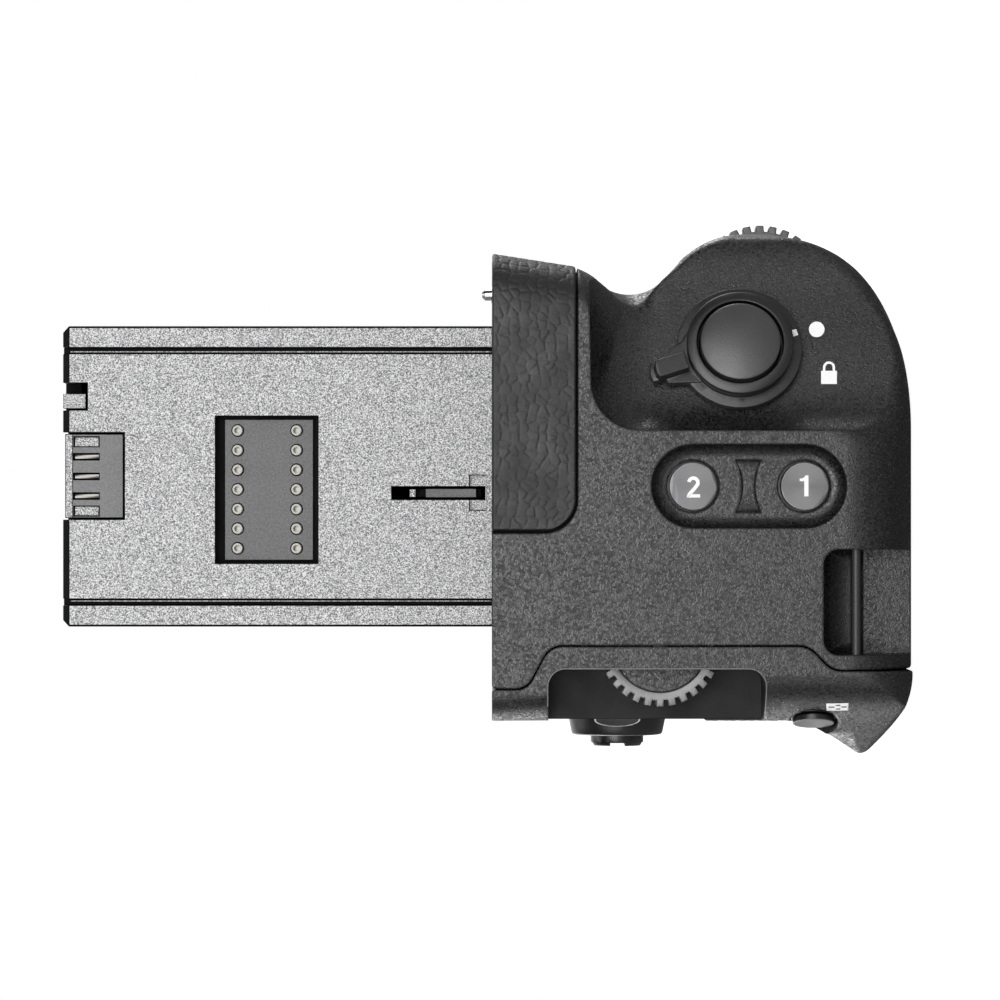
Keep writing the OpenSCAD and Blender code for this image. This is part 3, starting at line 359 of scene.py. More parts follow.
END_X, TRAY_X, MATE_Z, SHELL_Z = 71.0, 64.0, 52.5, 0.1
NOSE_Y, LIP_Y, PLAIN_Y, BACK_Y, SEAM = 40.4, 37.5, 31.0, -20.6, 0.2
PART_Y, PART_TOP, PART_LOW = -11.05, -16.4, -14.1
TILT, SCOOP_D, SCOOP_Y = 17.0, 3.1, 17.3
SLOPE = math.tan(math.radians(TILT))
GROOVE_Y, BASE_ROLL = NOSE_Y - 9.9, 7.5
SHUTTER_Y, SHUTTER_Z = 25.4, 21.7
SHUTTER_X = END_X - SCOOP_D - (SHUTTER_Y - SCOOP_Y) * SLOPE
WRAP_RX, WRAP_RY, LIP_SLOPE = 5.5, 5.6, 0.155
FRONT_RISE, REAR_RISE, REAR_DROP = 8.6, 7.5, 0.9


def smooth(a, b, x):
    """0 at a to 1 at b, with soft ends."""
    t = min(1, max(0, (x - a) / (b - a)))
    return t * t * (3 - 2 * t)


def roll(d, r):
    """1 at the end face, along a quarter circle to 0 at depth r."""
    return 1 - math.sqrt(max(0, 1 - (1 - min(d, r) / r) ** 2))


def curve(table, x):
    """Smooth monotone curve through a table."""
    xs = [p[0] for p in table]
    ys = [p[1] for p in table]
    n = len(xs)
    if x <= xs[0]:
        return ys[0]
    if x >= xs[-1]:
        return ys[-1]
    h = [xs[i + 1] - xs[i] for i in range(n - 1)]
    s = [(ys[i + 1] - ys[i]) / h[i] for i in range(n - 1)]
    m = [s[0]] + [0] * (n - 2) + [s[-1]]
    for i in range(1, n - 1):
        if s[i - 1] * s[i] > 0:
            m[i] = 3 * (h[i - 1] + h[i]) / ((2 * h[i] + h[i - 1]) / s[i - 1] + (h[i] + 2 * h[i - 1]) / s[i])
    i = max(k for k in range(n - 1) if xs[k] <= x)
    t = (x - xs[i]) / h[i]
    return ((1 + 2 * t) * (1 - t) ** 2 * ys[i] + t * (1 - t) ** 2 * h[i] * m[i]
            + t * t * (3 - 2 * t) * ys[i + 1] + t * t * (t - 1) * h[i] * m[i + 1])


def corner(a, p, b, n):
    """Round corner at p in n steps; p also holds its runs towards a and b."""
    c = np.array(p[:2], float)
    ua = np.array(a[:2], float) - c
    ub = np.array(b[:2], float) - c
    ua /= np.linalg.norm(ua)
    ub /= np.linalg.norm(ub)
    s, e = c + ua * p[2], c + ub * p[3]
    w = math.sqrt(max(0.02, (1 - ua @ ub) / 2))
    out = []
    for i in range(n + 1):
        t = i / n
        k = 2 * w * t * (1 - t)
        out.append((s * (1 - t) ** 2 + c * k + e * t * t) / ((1 - t) ** 2 + k + t * t))
    return out


def ring(l, ns):
    """Outline with a round at every corner, each in its own number of steps."""
    n = len(l)
    return [q for i in range(n) for q in corner(l[i - 1], l[i], l[(i + 1) % n], ns[i])]


FRONT_SEAM = [[PART_TOP, MATE_Z, .4, .4], [PART_TOP, 48.2, 1.4, 1.4], [PART_Y, 45.4, 1.6, 1.6],
              [PART_Y, 13.3, 1.3, 1.3], [PART_LOW, 10.4, 1.3, 1.3]]
FRONT_STEPS = [2, 26, 12, 14, 8, 5, 2, 8, 8, 8, 8]
FRONT_HAND = [[PART_LOW, SHELL_Z, .4, .4], [NOSE_Y, SHELL_Z, 24.8, 18.6], [NOSE_Y, 25.5, 4.5, 4.5],
              [GROOVE_Y, 35, 5.5, 5.5], [LIP_Y - 1.9, 40.7, 1.5, 1.5], [LIP_Y, MATE_Z, .8, .8]] + FRONT_SEAM
FRONT_PLAIN = [[PART_LOW, SHELL_Z, .4, .4], [PLAIN_Y, SHELL_Z, 3, 3], [PLAIN_Y, 18, 3, 3],
               [PLAIN_Y, 30, 3, 3], [PLAIN_Y, 41, 1.5, 1.5], [PLAIN_Y + .5, MATE_Z, .8, .8]] + FRONT_SEAM
# Tables by depth from the end face, LOW_RUN by y: places of the nose and the groove, and runs of their rounds
NOSE_EDGE = [[0, 15.5], [.3, 15.56], [1.2, 16.05], [2.2, 16.9], [2.8, 17.6], [3.3, 18.4],
             [3.75, SCOOP_Y + .65 / SLOPE], [6, SCOOP_Y + 2.9 / SLOPE], [8, SCOOP_Y + (8 - SCOOP_D) / SLOPE],
             [9, NOSE_Y - 3.4], [9.6, NOSE_Y - 1.7], [10.4, NOSE_Y - .6], [12.5, NOSE_Y]]
GROOVE_Z = [[0, 40.2], [.3, 40], [1.2, 39.3], [2.2, 38.4], [3, 37.6], [3.75, 36.9], [5, 35.8],
            [6.5, 34.8], [8, 34.6], [10.4, 35], [12.5, 35]]
NOSE_TOP = [[0, 25], [5, 27], [6.5, 30.5], [8, 31.9], [9, 28.5], [9.6, 27], [10.4, 26], [12.5, 25.5]]
LOW_RUN = [[15.5, 2.5], [23.4, 2.2], [28.3, 3.4], [33.2, 7], [NOSE_Y - 3.4, 10.6],
           [NOSE_Y - 1.7, 13], [NOSE_Y - .6, 15.8], [NOSE_Y, 18.6]]
TOP_RUN = [[0, 2], [5, 1], [8, .8], [9, 1.5], [10.4, 3.5], [12.5, 4.5]]
GROOVE_RUN = [[0, 6], [3.6, 5], [5, 4], [6.5, 2.6], [8, 2.5], [9, 4], [10.4, 5.5], [12.5, 5.5]]


def below(v, high, k=1.1):
    """Keeps v below high, with a round where the two meet."""
    return high - math.log1p(math.exp(k * (high - v))) / k


def end_section(d):
    """Corners of the front shell at depth d from the end face."""
    y = curve(NOSE_EDGE, d)
    z = SHELL_Z + FRONT_RISE * roll(d, BASE_ROLL)
    d2, d3, d4 = curve(TOP_RUN, d), curve(GROOVE_RUN, d), curve([[0, .8], [5, 1.5]], d)
    lip = LIP_Y - WRAP_RY * roll(d, WRAP_RX)
    return [[PART_LOW, z, .4, .4], [y, z, max(2.5, y - 15.6), curve(LOW_RUN, y)],
            [y, curve(NOSE_TOP, d), d2, d2],
            [below(y, GROOVE_Y), curve(GROOVE_Z, d), d3, d3],
            [lip - 1.9, curve([[0, 40.4], [3, 40.7]], d), d4, d4], [lip, MATE_Z, .8, .8]] + FRONT_SEAM


REAR_SEAM = [[PART_LOW - SEAM, SHELL_Z, .3, .3], [PART_LOW - SEAM, 10.5, 1.3, 1.3],
             [PART_Y - SEAM, 13.4, 1.3, 1.3], [PART_Y - SEAM, 45.3, 1.6, 1.6],
             [PART_TOP - SEAM, 48.1, 1.4, 1.4], [PART_TOP - SEAM, MATE_Z, .3, .3]]
REAR_STEPS = [2, 8, 8, 8, 8, 2, 5, 16, 14, 18]
REAR_PLAIN = REAR_SEAM + [[BACK_Y, MATE_Z, .6, .6], [BACK_Y, 12, 2, 2], [BACK_Y, 2.2, .8, .8],
                          [BACK_Y + 1.2, SHELL_Z, .6, .6]]
REAR_HAND = REAR_SEAM + [[BACK_Y, MATE_Z, .6, .6], [BACK_Y, 13, 3.5, 3.5], [BACK_Y - 4.75, 5.9, .9, 1.2],
                         [-18.9, SHELL_Z, 7, 4.1]]
THUMB = REAR_SEAM + [[BACK_Y, MATE_Z, .2, .2], [BACK_Y, 13.6, 3.2, 3.2], [BACK_Y - 4.8, 6.1, 1.7, 1.7],
                     [-18.9, SHELL_Z, 6.6, 4.1]]
END_ROLL = [[0, -14.7], [.25, -15.8], [.7, -16.8], [1.3, -17.6], [2, -18.3], [3, -19.1], [4.5, -20.1],
            [12, -25.8]]


def above(v, low):
    """Keeps v above low, with a small round where the two meet."""
    return v if v > low + 6 else low + math.log1p(math.exp(6 * (v - low))) / 6 + .01 * min(0, v - low)


def rear_ring(d):
    """The outline of the thumb ridge, cut back by the roll of the end face."""
    y0, y1 = curve(END_ROLL, d), BACK_Y - REAR_DROP + 4.3 * roll(d, 8)
    z0, t = SHELL_Z - REAR_DROP + REAR_RISE * roll(d, BASE_ROLL), smooth(6, 12, d)
    out = []
    for a, b in zip(THUMB_RING, HAND_RING):
        y, z = a + (b - a) * t
        out.append((above(y, y0 + (y1 - y0) * smooth(41, 45, z)), above(z, z0)))
    return out


def mixed(p, q, t):
    """Corners a share t of the way from p to q."""
    return [[a + (b - a) * t for a, b in zip(u, v)] for u, v in zip(p, q)]


def skin(name, xs, rings, mat):
    """Closed loft over outlines at the places xs."""
    n, m = len(rings[0]), len(xs)
    verts = [(x, p[0], p[1]) for x, r in zip(xs, rings) for p in r]
    faces = loft_faces(n, m)
    ob = make(name, verts, faces, mat)
    bm = bmesh.new()
    bm.from_mesh(ob.data)
    bmesh.ops.triangulate(bm, faces=[f for f in bm.faces if len(f.verts) > 4], ngon_method="EAR_CLIP")
    bm.to_mesh(ob.data)
    bm.free()
    return ob


# The depths crowd towards the end face
FRONT_DEEP, REAR_DEEP, CROWDING = 12.5, 12, 1.6
HAND_FROM, HAND_TO, THUMB_FROM, THUMB_TO = -5, 24, 4, 30
deep = [FRONT_DEEP * (i / 56) ** CROWDING for i in range(57)][::-1]
left = [-TRAY_X] + list(np.linspace(HAND_FROM, HAND_TO, 25))
front_x = left + [END_X - d for d in deep]
front_r = [ring(mixed(FRONT_PLAIN, FRONT_HAND, smooth(HAND_FROM, HAND_TO, x)), FRONT_STEPS) for x in left]
front_r += [ring(end_section(d), FRONT_STEPS) for d in deep]
front = skin("front_shell_body", front_x, front_r, M_SHELL)

rdeep = [REAR_DEEP * (i / 40) ** CROWDING for i in range(41)][::-1]
rleft = [-TRAY_X] + list(np.linspace(THUMB_FROM, THUMB_TO, 22))
THUMB_RING, HAND_RING = ring(THUMB, REAR_STEPS), ring(REAR_HAND, REAR_STEPS)
rear_x = rleft + [END_X - d for d in rdeep]
rear_r = [ring(mixed(REAR_PLAIN, REAR_HAND, smooth(THUMB_FROM, THUMB_TO, x)), REAR_STEPS) for x in rleft]
rear_r += [rear_ring(d) for d in rdeep]
rear = skin("rear_cover_body", rear_x, rear_r, M_SHELL)


# Spaces cut into the shells

BAY_X, CAV_X, CAV_END = -6.9, -3.9, 56
BAY_YZ, CAV_YZ = (-18.7, 29.3, 2.2, 44.0), (-18.5, 26, 2.6, 42.5)
WHEEL, SCREW_HOLE, SCREW_FOOT, BUSH_HOLE = (45.0, 51.0, 22.0), (50, 54, 3.6), (40, 46, 2.05), (-1, 8, 4.6)
INSERT_ROOT, PLATE_BED = (32.9, 53.1, -8.3, 28.1, 46.5, 53.5), (-51, 57, -13, 15, -1, 1.2)
BOARD_ROOM, ROOM_X = (55, 66, 2.2, 15, 7, 35), 65
SHUTTER_BORES = [(7.3, -1.25, 8), (5.6, -4, 0), (4.7, -12, -3.9)]
LOCATING_PINS, BAY_BLOCK_Y = [(46, 33.3), (-40, 22)], (-10.6, 12.6)
TOP_SCREWS = [(27, -12), (27, 28), (-29, -12), (-29, 24)]
HAND_X, HAND_L, PAD_GAP = 26, 21, 0.2
THUMB_BED_X, THUMB_BED_Z = (13.8, 54.2), (14.8, 25.9)
THUMB_PAD_X, THUMB_PAD_Z = (14.05, 53.95), (15.05, 25.65)
RD_X, RD_Y, RD_Z, RD_R, RD_W = END_X - 7.8, -11.15, 31.6, 7.6, 4.2
FD_R, FD_W = 8.75, 4.6
FD_X, FD_Y, FD_Z = END_X - 20.8, NOSE_Y + 1.35 - FD_R, 18.5
CUST_Y, CUST_Z1, CUST_Z2, CUST_R = 8.6, 13.8, 27.6, 2.92
TRACK_X, TRACK_R = END_X - 1.8, 5.3
WAIST_W, WAIST_H, WAIST_FLARE = 3.15, .72, .78
PAD_Z, PAD_Y, PAD_X, PAD_T, PAD_SEAM, PAD_LAP = 42.2, 3.1, 26.0, 1.0, 0.35, 0.12
PAD_CORNER = 4.2
STRAP_Y0, STRAP_Y1, STRAP_Z = -12.3, 0.8, 7.4
FOCUS_LEAN, EXPO_LEAN, EXPO_FACE_LEAN = 20, 22, 15
DIAL_SIDE, DIAL_ROUND, AXLE_R = 0.45, 0.4, 1.0
RECESS_Z0, RECESS_Z1, RECESS_Y, RECESS_R = 18.65, 45.5, -14.05, 2.1
FOCUS = (53.5, BACK_Y, 36.6)
EXPO = (65.0, BACK_Y + 0.55, 12.4)
STICK = (40.0, BACK_Y, 36.3)
SHUTTER = (SHUTTER_X, SHUTTER_Y, SHUTTER_Z)


def shared_cuts():
    return [box_cut(-TRAY_X - 1, BAY_X, *BAY_YZ), box_cut(CAV_X, CAV_END, *CAV_YZ),
            tube_cut(0, 0, *WHEEL, 120),
            rod_cut(RD_X - DIAL_SIDE, RD_X + RD_W + DIAL_SIDE, RD_Y, RD_Z, RD_R + DIAL_ROUND),
            rod_cut(END_X - 13, END_X - 1.4, RD_Y, RD_Z, AXLE_R)]


def lip_at(z):
    return LIP_Y - (MATE_Z - z) * LIP_SLOPE


def on_roll(a, z, off):
    """Point of the roll from the lens side to the end face, at the angle a."""
    return (END_X - WRAP_RX + (WRAP_RX - off) * math.cos(a),
            lip_at(z) - WRAP_RY + (WRAP_RY - off) * math.sin(a))


def wrap_path(off, z, g, n=24):
    pts = [(PAD_X - g, lip_at(z) - off)]
    for i in range(n + 1):
        pts.append(on_roll(math.radians(90 - 90 * i / n), z, off))
    return pts + [(END_X - off, PAD_Y - g)]


def wrap_cut():
    z0, z1 = PAD_Z - PAD_SEAM, MATE_Z + 1
    low = wrap_path(-3, z0, PAD_SEAM) + wrap_path(PAD_T, z0, PAD_SEAM)[::-1]
    high = wrap_path(-3, z1, PAD_SEAM) + wrap_path(PAD_T, z1, PAD_SEAM)[::-1]
    n = len(low)
    h = n // 2
    verts = [(p[0], p[1], z0) for p in low] + [(p[0], p[1], z1) for p in high]
    faces = [[i, i + 1, n - 2 - i, n - 1 - i] for i in range(h - 1)]
    faces += [[n + i, n + n - 1 - i, n + n - 2 - i, n + i + 1] for i in range(h - 1)]
    faces += [[i, n + i, n + (i + 1) % n, (i + 1) % n] for i in range(n)]
    ob = make("cut", verts, faces, None, None)
    r = PAD_CORNER
    y0 = PAD_Y - PAD_SEAM
    wedge = [(y0 - 1, z0 - 1), (y0 + r, z0 - 1), (y0 + r, z0)]
    wedge += [(y0 + r - r * sind(a), z0 + r - r * cosd(a)) for a in range(6, 91, 6)]
    wedge += [(y0 - 1, z0 + r)]
    return cut(ob, [prism("cut", wedge, 66, 76)])


def track_cut():
    def outline(r, n=20):
        lo, hi = CUST_Z1, CUST_Z2
        a = [(CUST_Y + r * math.cos(t), hi + r * math.sin(t)) for t in np.linspace(0, math.pi, n)]
        return a + [(CUST_Y - r * math.cos(t), lo - r * math.sin(t)) for t in np.linspace(0, math.pi, n)]
    depth = END_X - TRACK_X
    steps = [(TRACK_X + depth * (1 - cosd(a)) * .94, TRACK_R - 1.95 + 1.8 * sind(a)) for a in range(0, 91, 9)]
    steps += [(END_X + .05, TRACK_R + .02), (END_X + .6, TRACK_R + .5)]
    rings = [outline(r) for _, r in steps]
    n = len(rings[0])
    verts = [(x, p[0], p[1]) for (x, _), r in zip(steps, rings) for p in r]
    return make("cut", verts, loft_faces(n, len(steps)), None, None)


def rounded(y0, y1, z0, z1, r, which):
    """Rectangle with rounds of radius r at the corners in which, counted from y1, z1."""
    pts = []
    corners = ((y1, z1, -1, -1, 0), (y0, z1, 1, -1, 90), (y0, z0, 1, 1, 180), (y1, z0, -1, 1, 270))
    for y, z, sy, sz, a0 in corners:
        q = r if (a0 // 90) in which else 0.05
        pts += [(y + sy * q + q * cosd(a0 + a), z + sz * q + q * sind(a0 + a)) for a in range(0, 91, 10)]
    return pts


def nose_line(n1=40, n2=14, start=0.357):
    a = corner(FRONT_HAND[0], FRONT_HAND[1], FRONT_HAND[2], n1)
    b = corner(FRONT_HAND[1], FRONT_HAND[2], FRONT_HAND[3], n2)
    return np.array(a[int(n1 * start):] + b[1:])


def moved(l, off):
    t = np.gradient(l, axis=0)
    t /= np.linalg.norm(t, axis=1)[:, None]
    return l + off * np.stack([t[:, 1], -t[:, 0]], 1)


def waist(grow):
    """Outline of the hourglass divider between the two round buttons."""
    mid = (CUST_Z1 + CUST_Z2) / 2
    t = np.linspace(-1, 1, 25)
    up = [(CUST_Y + (WAIST_W + grow) * k, mid + WAIST_H + WAIST_FLARE * k * k + grow) for k in t]
    return up + [(CUST_Y + (WAIST_W + grow) * k, mid - WAIST_H - WAIST_FLARE * k * k - grow) for k in t[::-1]]


def saddle():
    """The divider: it stands a little above the floor and falls towards both ends."""
    rim = np.array(waist(0))
    mid = (CUST_Z1 + CUST_Z2) / 2
    def top(y):
        return TRACK_X + .32 - .5 * abs((y - CUST_Y) / WAIST_W) ** 2.2
    levels = [(1.0, -.6, 0), (1.0, -.1, 1), (.985, -.02, 1), (.955, 0, 1)]
    verts, n = [], len(rim)
    half = n // 2
    for f, drop, on in levels:
        for y, z in rim:
            yy = CUST_Y + (y - CUST_Y) * (1 - (1 - f) * .5)
            zz = mid + (z - mid) * (1 - (1 - f) * 1.3)
            verts.append(((top(yy) if on else TRACK_X) + drop, yy, zz))
    faces = [list(range(n))]
    for k in range(len(levels) - 1):
        faces += [[k * n + i, (k + 1) * n + i, (k + 1) * n + (i + 1) % n, k * n + (i + 1) % n]
                  for i in range(n)]
    b = (len(levels) - 1) * n
    faces += [[b + i, b + n - 1 - i, b + n - 2 - i, b + i + 1] for i in range(half - 1)]
    return make("divider", verts, faces, M_SHELL, None)


def join(ob, extra):
    """Adds a second mesh to a mesh and deletes its object."""
    bm = bmesh.new()
    bm.from_mesh(ob.data)
    bm.from_mesh(outward(extra).data)
    bm.to_mesh(ob.data)
    bm.free()
    d = extra.data
    bpy.data.objects.remove(extra)
    bpy.data.meshes.remove(d)


def strap_cut():
    """The bowl left of the strap bar: its floor rises in rounds to three of the walls."""
    x, y0, y1, z0, z1 = END_X - 8, STRAP_Y0, STRAP_Y1, 6.15, 11.5
    def round_off(w, r, sign):
        a = [(x + r - r * cosd(k), w - sign * r + sign * r * sind(k)) for k in range(0, 91, 9)]
        return [(x - .5, w + sign)] + [(x - .5, w - sign * r)] + a + [(x + r, w + sign)]
    ob = prism("cut", rounded(y0, y1, z0, z1, 1.85, (0, 1)), x, END_X + 2)
    return cut(ob, [prism("cut", round_off(z1, 3.8, 1), y0 - 1, y1 + 1, "Y"),
                    prism("cut", round_off(y1, 2.2, 1), z0 - 1, z1 + 1, "Z"),
                    prism("cut", round_off(y0, 2.2, -1), z0 - 1, z1 + 1, "Z")])


nose = nose_line()
hand_bed = np.vstack([moved(nose, 4), moved(nose, -.9)[::-1]])
cutters = shared_cuts() + [
    wrap_cut(),
    prism("cut", [tuple(p) for p in hand_bed], HAND_X - PAD_GAP, HAND_X + HAND_L + PAD_GAP),
    tube_cut(0, 0, *SCREW_HOLE), tube_cut(0, 0, *SCREW_FOOT), tube_cut(0, 0, *BUSH_HOLE),
    box_cut(*INSERT_ROOT), box_cut(*PLATE_BED), track_cut(), box_cut(*BOARD_ROOM),
    strap_cut(), box_cut(END_X - 14, END_X - 6.6, -12.1, .6, 6.2, 7.5),
    box_cut(END_X - 6.5, END_X + 1, STRAP_Y0, STRAP_Y1, -1, STRAP_Z + .2),
    prism("cut", disc(END_X - 1.4, STRAP_Z, .55, 32), -13.3, 1.8, "Y"),
    rod_cut(FD_X - DIAL_SIDE, FD_X + FD_W + DIAL_SIDE, FD_Y, FD_Z, FD_R + DIAL_ROUND),
    rod_cut(FD_X - 4, FD_X + FD_W + 3.5, FD_Y, FD_Z, AXLE_R)]
for z in (CUST_Z1, CUST_Z2):
    cutters += [rod_cut(ROOM_X, END_X + 2, CUST_Y, z, CUST_R + .36),
                rod_cut(ROOM_X, 67.6, CUST_Y, z, CUST_R + 1.18)]
for r, a, b in SHUTTER_BORES:
    cutters.append(framed(tube_cut(0, 0, a, b, r, 96), SHUTTER, TILT, "end"))
for x, y in LOCATING_PINS:
    cutters.append(tube_cut(x, y, MATE_Z - 4.5, MATE_Z + 1, 1.05, 32))
for x, y in TOP_SCREWS:
    cutters.append(tube_cut(x, y, MATE_Z - 1.4, MATE_Z + 1, 1.75, 40))
for y in BAY_BLOCK_Y:
    cutters.append(box_cut(BAY_X - .1, CAV_X + .1, y, y + 10, 16, 30))
cutters.append(prism("cut", waist(.14), TRACK_X - .45, TRACK_X + .5))
cut(front, cutters)
join(front, saddle())
sharpen(front)
# Painted shade: the bed under the wrapped leather, the seam floor with it, takes the near-black second slot.
front.data.materials.append(M_VOID)
for p in front.data.polygons:
    c = p.center / MM
    shaded_bed = PAD_X - 1 < c.x < END_X - .1 and PAD_Z - PAD_SEAM - .05 < c.z < MATE_Z - .1
    if shaded_bed and c.y > PAD_Y - PAD_SEAM - .05:
        p.material_index = 1
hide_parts("front_shell")

rcut = shared_cuts() + [
    prism("cut", rounded(-26, RECESS_Y, RECESS_Z0, RECESS_Z1, RECESS_R, (0, 3)), END_X - 10, END_X + 2),
    framed(tube_cut(0, 0, -4, 2, 4.45), STICK, 0, "back"),
    framed(tube_cut(0, 0, -8, 6, 3.2), FOCUS, FOCUS_LEAN, "back"),
    framed(tube_cut(0, 0, -3.2, 6, 3.05), EXPO, EXPO_LEAN, "back"),
    framed(tube_cut(0, 0, -5.4, 0, 2.2), EXPO, EXPO_LEAN, "back"),
    box_cut(*THUMB_BED_X, BACK_Y - 2, BACK_Y + .7, *THUMB_BED_Z)]
cut(rear, rcut)
sharpen(rear)
rear.data.materials.append(M_SMOOTH)
for p in rear.data.polygons:
    c = p.center / MM
    inside = END_X - 10.1 < c.x < END_X - .05 and RECESS_Z0 - .05 < c.z < RECESS_Z1 + .05
    if inside and c.y < RECESS_Y + .05:
        p.material_index = 1
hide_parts("rear_cover")


# Leather-grain rubber

PITCH, JITTER, CREASE_W, RIM_FADE = 1.2, 0.72, 0.36, 0.5


def pebbles(u, v, pitch, seed):
    """0 in the creases to 1 on the crowns, for points u, v in mm."""
    r = np.random.default_rng(seed)
    n0, n1 = int(u.max() / pitch) + 6, int(v.max() / pitch) + 6
    jit = r.random((n0, n1, 2)) * JITTER
    gu, gv = np.floor(u / pitch).astype(int) + 2, np.floor(v / pitch).astype(int) + 2
    best = np.full((2,) + u.shape, 9.0)
    for a in (-2, -1, 0, 1, 2):
        for b in (-2, -1, 0, 1, 2):
            i, j = np.clip(gu + a, 0, n0 - 1), np.clip(gv + b, 0, n1 - 1)
            d = np.hypot(gu + a - 2 + jit[i, j, 0] - u / pitch, gv + b - 2 + jit[i, j, 1] - v / pitch)
            near = d < best[0]
            best[1] = np.where(near, best[0], np.minimum(best[1], d))
            best[0] = np.where(near, d, best[0])
    crease = np.clip((best[1] - best[0]) / CREASE_W, 0, 1)
    soft = 0.62 + 0.38 * np.sin(1.3 * u + 2 * np.sin(0.9 * v)) * np.sin(1.7 * v + 1.3 * np.sin(0.8 * u))
    return 1 - soft * (1 - crease * (2 - crease) * (1 - 0.35 * np.clip(best[0], 0, 1) ** 2))


def pad_mesh(name, top, low, mat, node):
    """Closed pad from a grid of outer points and one of inner points."""
    a, b = top.shape[:2]
    verts = np.vstack([top.reshape(-1, 3), low.reshape(-1, 3)])
    k = a * b
    faces = []
    for i in range(a - 1):
        for j in range(b - 1):
            q = [i * b + j, (i + 1) * b + j, (i + 1) * b + j + 1, i * b + j + 1]
            faces.append(q)
            faces.append([k + n for n in q[::-1]])
    rim = rim_of(a, b)
    faces += [[p, k + p, k + q, q] for p, q in zip(rim, rim[1:] + rim[:1])]
    ob = outward(make(name, verts, faces, mat))
    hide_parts(node)
    return ob


def grid_pad(name, node, us, vs, place, proud, thick, pitch, height, seed, low_of=None, rim=0.5):
    """place(u, v, off) gives a point; off counts inwards from the housing face."""
    U, V = np.meshgrid(us, vs, indexing="ij")
    if low_of is not None:
        for i, u in enumerate(us):
            V[i] = low_of(u) + (vs - vs[0]) / (vs[-1] - vs[0]) * (vs[-1] - low_of(u))
    peb = pebbles(U - us[0], V - vs[0], pitch, seed)
    top = np.zeros(U.shape + (3,))
    low = np.zeros(U.shape + (3,))
    for i in range(U.shape[0]):
        for j in range(U.shape[1]):
            u, v = U[i, j], V[i, j]
            d = min(u - us[0], us[-1] - u, v - V[i, 0], V[i, -1] - v)
            fade = min(1, d / RIM_FADE)
            off = -proud + rim * roll(d, rim) + height * (1 - peb[i, j]) * fade
            top[i, j] = place(u, v, off)
            low[i, j] = place(u, v, thick)
    return pad_mesh(name, top, low, M_LEATHER, node)


FLAT = END_X - WRAP_RX - PAD_X
ROLL_L = (WRAP_RX + WRAP_RY) / 2 * math.pi / 2
DOWN = LIP_Y - WRAP_RY - PAD_Y
LENGTH = FLAT + ROLL_L + DOWN


def on_wrap(u, z, off):
    """Point of the wrapped leather, u along it from its lens-side end."""
    lip = lip_at(z)
    if u < FLAT:
        return (PAD_X + u, lip - off, z)
    if u < FLAT + ROLL_L:
        return (*on_roll(math.radians(90 - 90 * (u - FLAT) / ROLL_L), z, off), z)
    t = (u - FLAT - ROLL_L) / DOWN
    return (END_X - off, lip - WRAP_RY + (PAD_Y - lip + WRAP_RY) * t, z)


def wrap_low(u):
    """Lower edge of the wrapped leather, with a round at its rear end."""
    d = LENGTH - u
    if d >= PAD_CORNER:
        return PAD_Z - PAD_LAP
    return PAD_Z - PAD_LAP + PAD_CORNER - math.sqrt(max(0, PAD_CORNER ** 2 - (PAD_CORNER - d) ** 2))


wrap_u = np.concatenate([np.linspace(0, FLAT, 190), np.linspace(FLAT, LENGTH, 270)[1:]])
grid_pad("grip_leather", "grip_rubber", wrap_u, np.linspace(PAD_Z - PAD_LAP, MATE_Z - .03, 88), on_wrap,
         proud=.12, thick=.97, pitch=PITCH, height=.11, seed=3, low_of=wrap_low, rim=.3)

step = np.concatenate([[0], np.cumsum(np.linalg.norm(np.diff(nose, axis=0), axis=1))])
nose_t = np.gradient(nose, axis=0)
nose_t /= np.linalg.norm(nose_t, axis=1)[:, None]


def on_nose(u, s, off):
    p = [np.interp(s, step, nose[:, k]) for k in (0, 1)]
    t = [np.interp(s, step, nose_t[:, k]) for k in (0, 1)]
    return (HAND_X + u, p[0] - off * t[1], p[1] + off * t[0])


grid_pad("hand_leather", "hand_pad", np.linspace(0, HAND_L, 84), np.linspace(.15, step[-1] - .15, 120),
         on_nose, proud=.22, thick=.85, pitch=PITCH, height=.12, seed=5)
grid_pad("thumb_leather", "thumb_pad", np.linspace(*THUMB_PAD_X, 150), np.linspace(*THUMB_PAD_Z, 44),
         lambda u, v, off: (u, BACK_Y + off, v), proud=.6, thick=.68, pitch=PITCH, height=.12, seed=9)


# Finishes of the other solids

BEVEL_ANGLE = math.radians(35)


def dress(node, mat, width=0.0, segments=2, edge=None):
    """Finish of a solid; edge gives its rounded edges a second material, in this script always near-black, as
    painted shade.
    """
    ob = NODES[node]
    ob.data.materials.clear()
    ob.data.materials.append(mat)
    if edge is not None:
        ob.data.materials.append(edge)
    for p in ob.data.polygons:
        p.material_index = 0
        p.use_smooth = width > 0
    if width > 0:
        wld = ob.modifiers.new("weld", "WELD")
        wld.merge_threshold = 0.000002
        b = ob.modifiers.new("edge", "BEVEL")
        b.width = width * MM
        b.segments = segments
        b.limit_method = "ANGLE"
        b.angle_limit = BEVEL_ANGLE
        b.use_clamp_overlap = True
        if edge is not None:
            b.material = 1
        w = ob.modifiers.new("normals", "WEIGHTED_NORMAL")
        w.mode = "FACE_AREA"
    return ob


def paint(ob, rule):
    """Material slot of each face from its centre in mm and its normal."""
    for p in ob.data.polygons:
        p.material_index = rule(p.center / MM, p.normal)


INS_X, INS_Y0, INS_Y1, INS_Z1 = END_X - 17, -9.2, 29.0, MATE_Z + 54.6


# Painted shade on the insert: its chamfers, inner walls and deep floors take the near-black second slot.
def insert_shade_rule(c, n):
    slanted = max(abs(n.x), abs(n.y), abs(n.z)) < 0.95
    inner = abs(n.x) < 0.5 and INS_Y0 + .3 < c.y < INS_Y1 - .3 and MATE_Z + .3 < c.z < INS_Z1 - .3
    return 1 if slanted or inner or (n.x > 0.9 and c.x < INS_X - 1.5) else 0


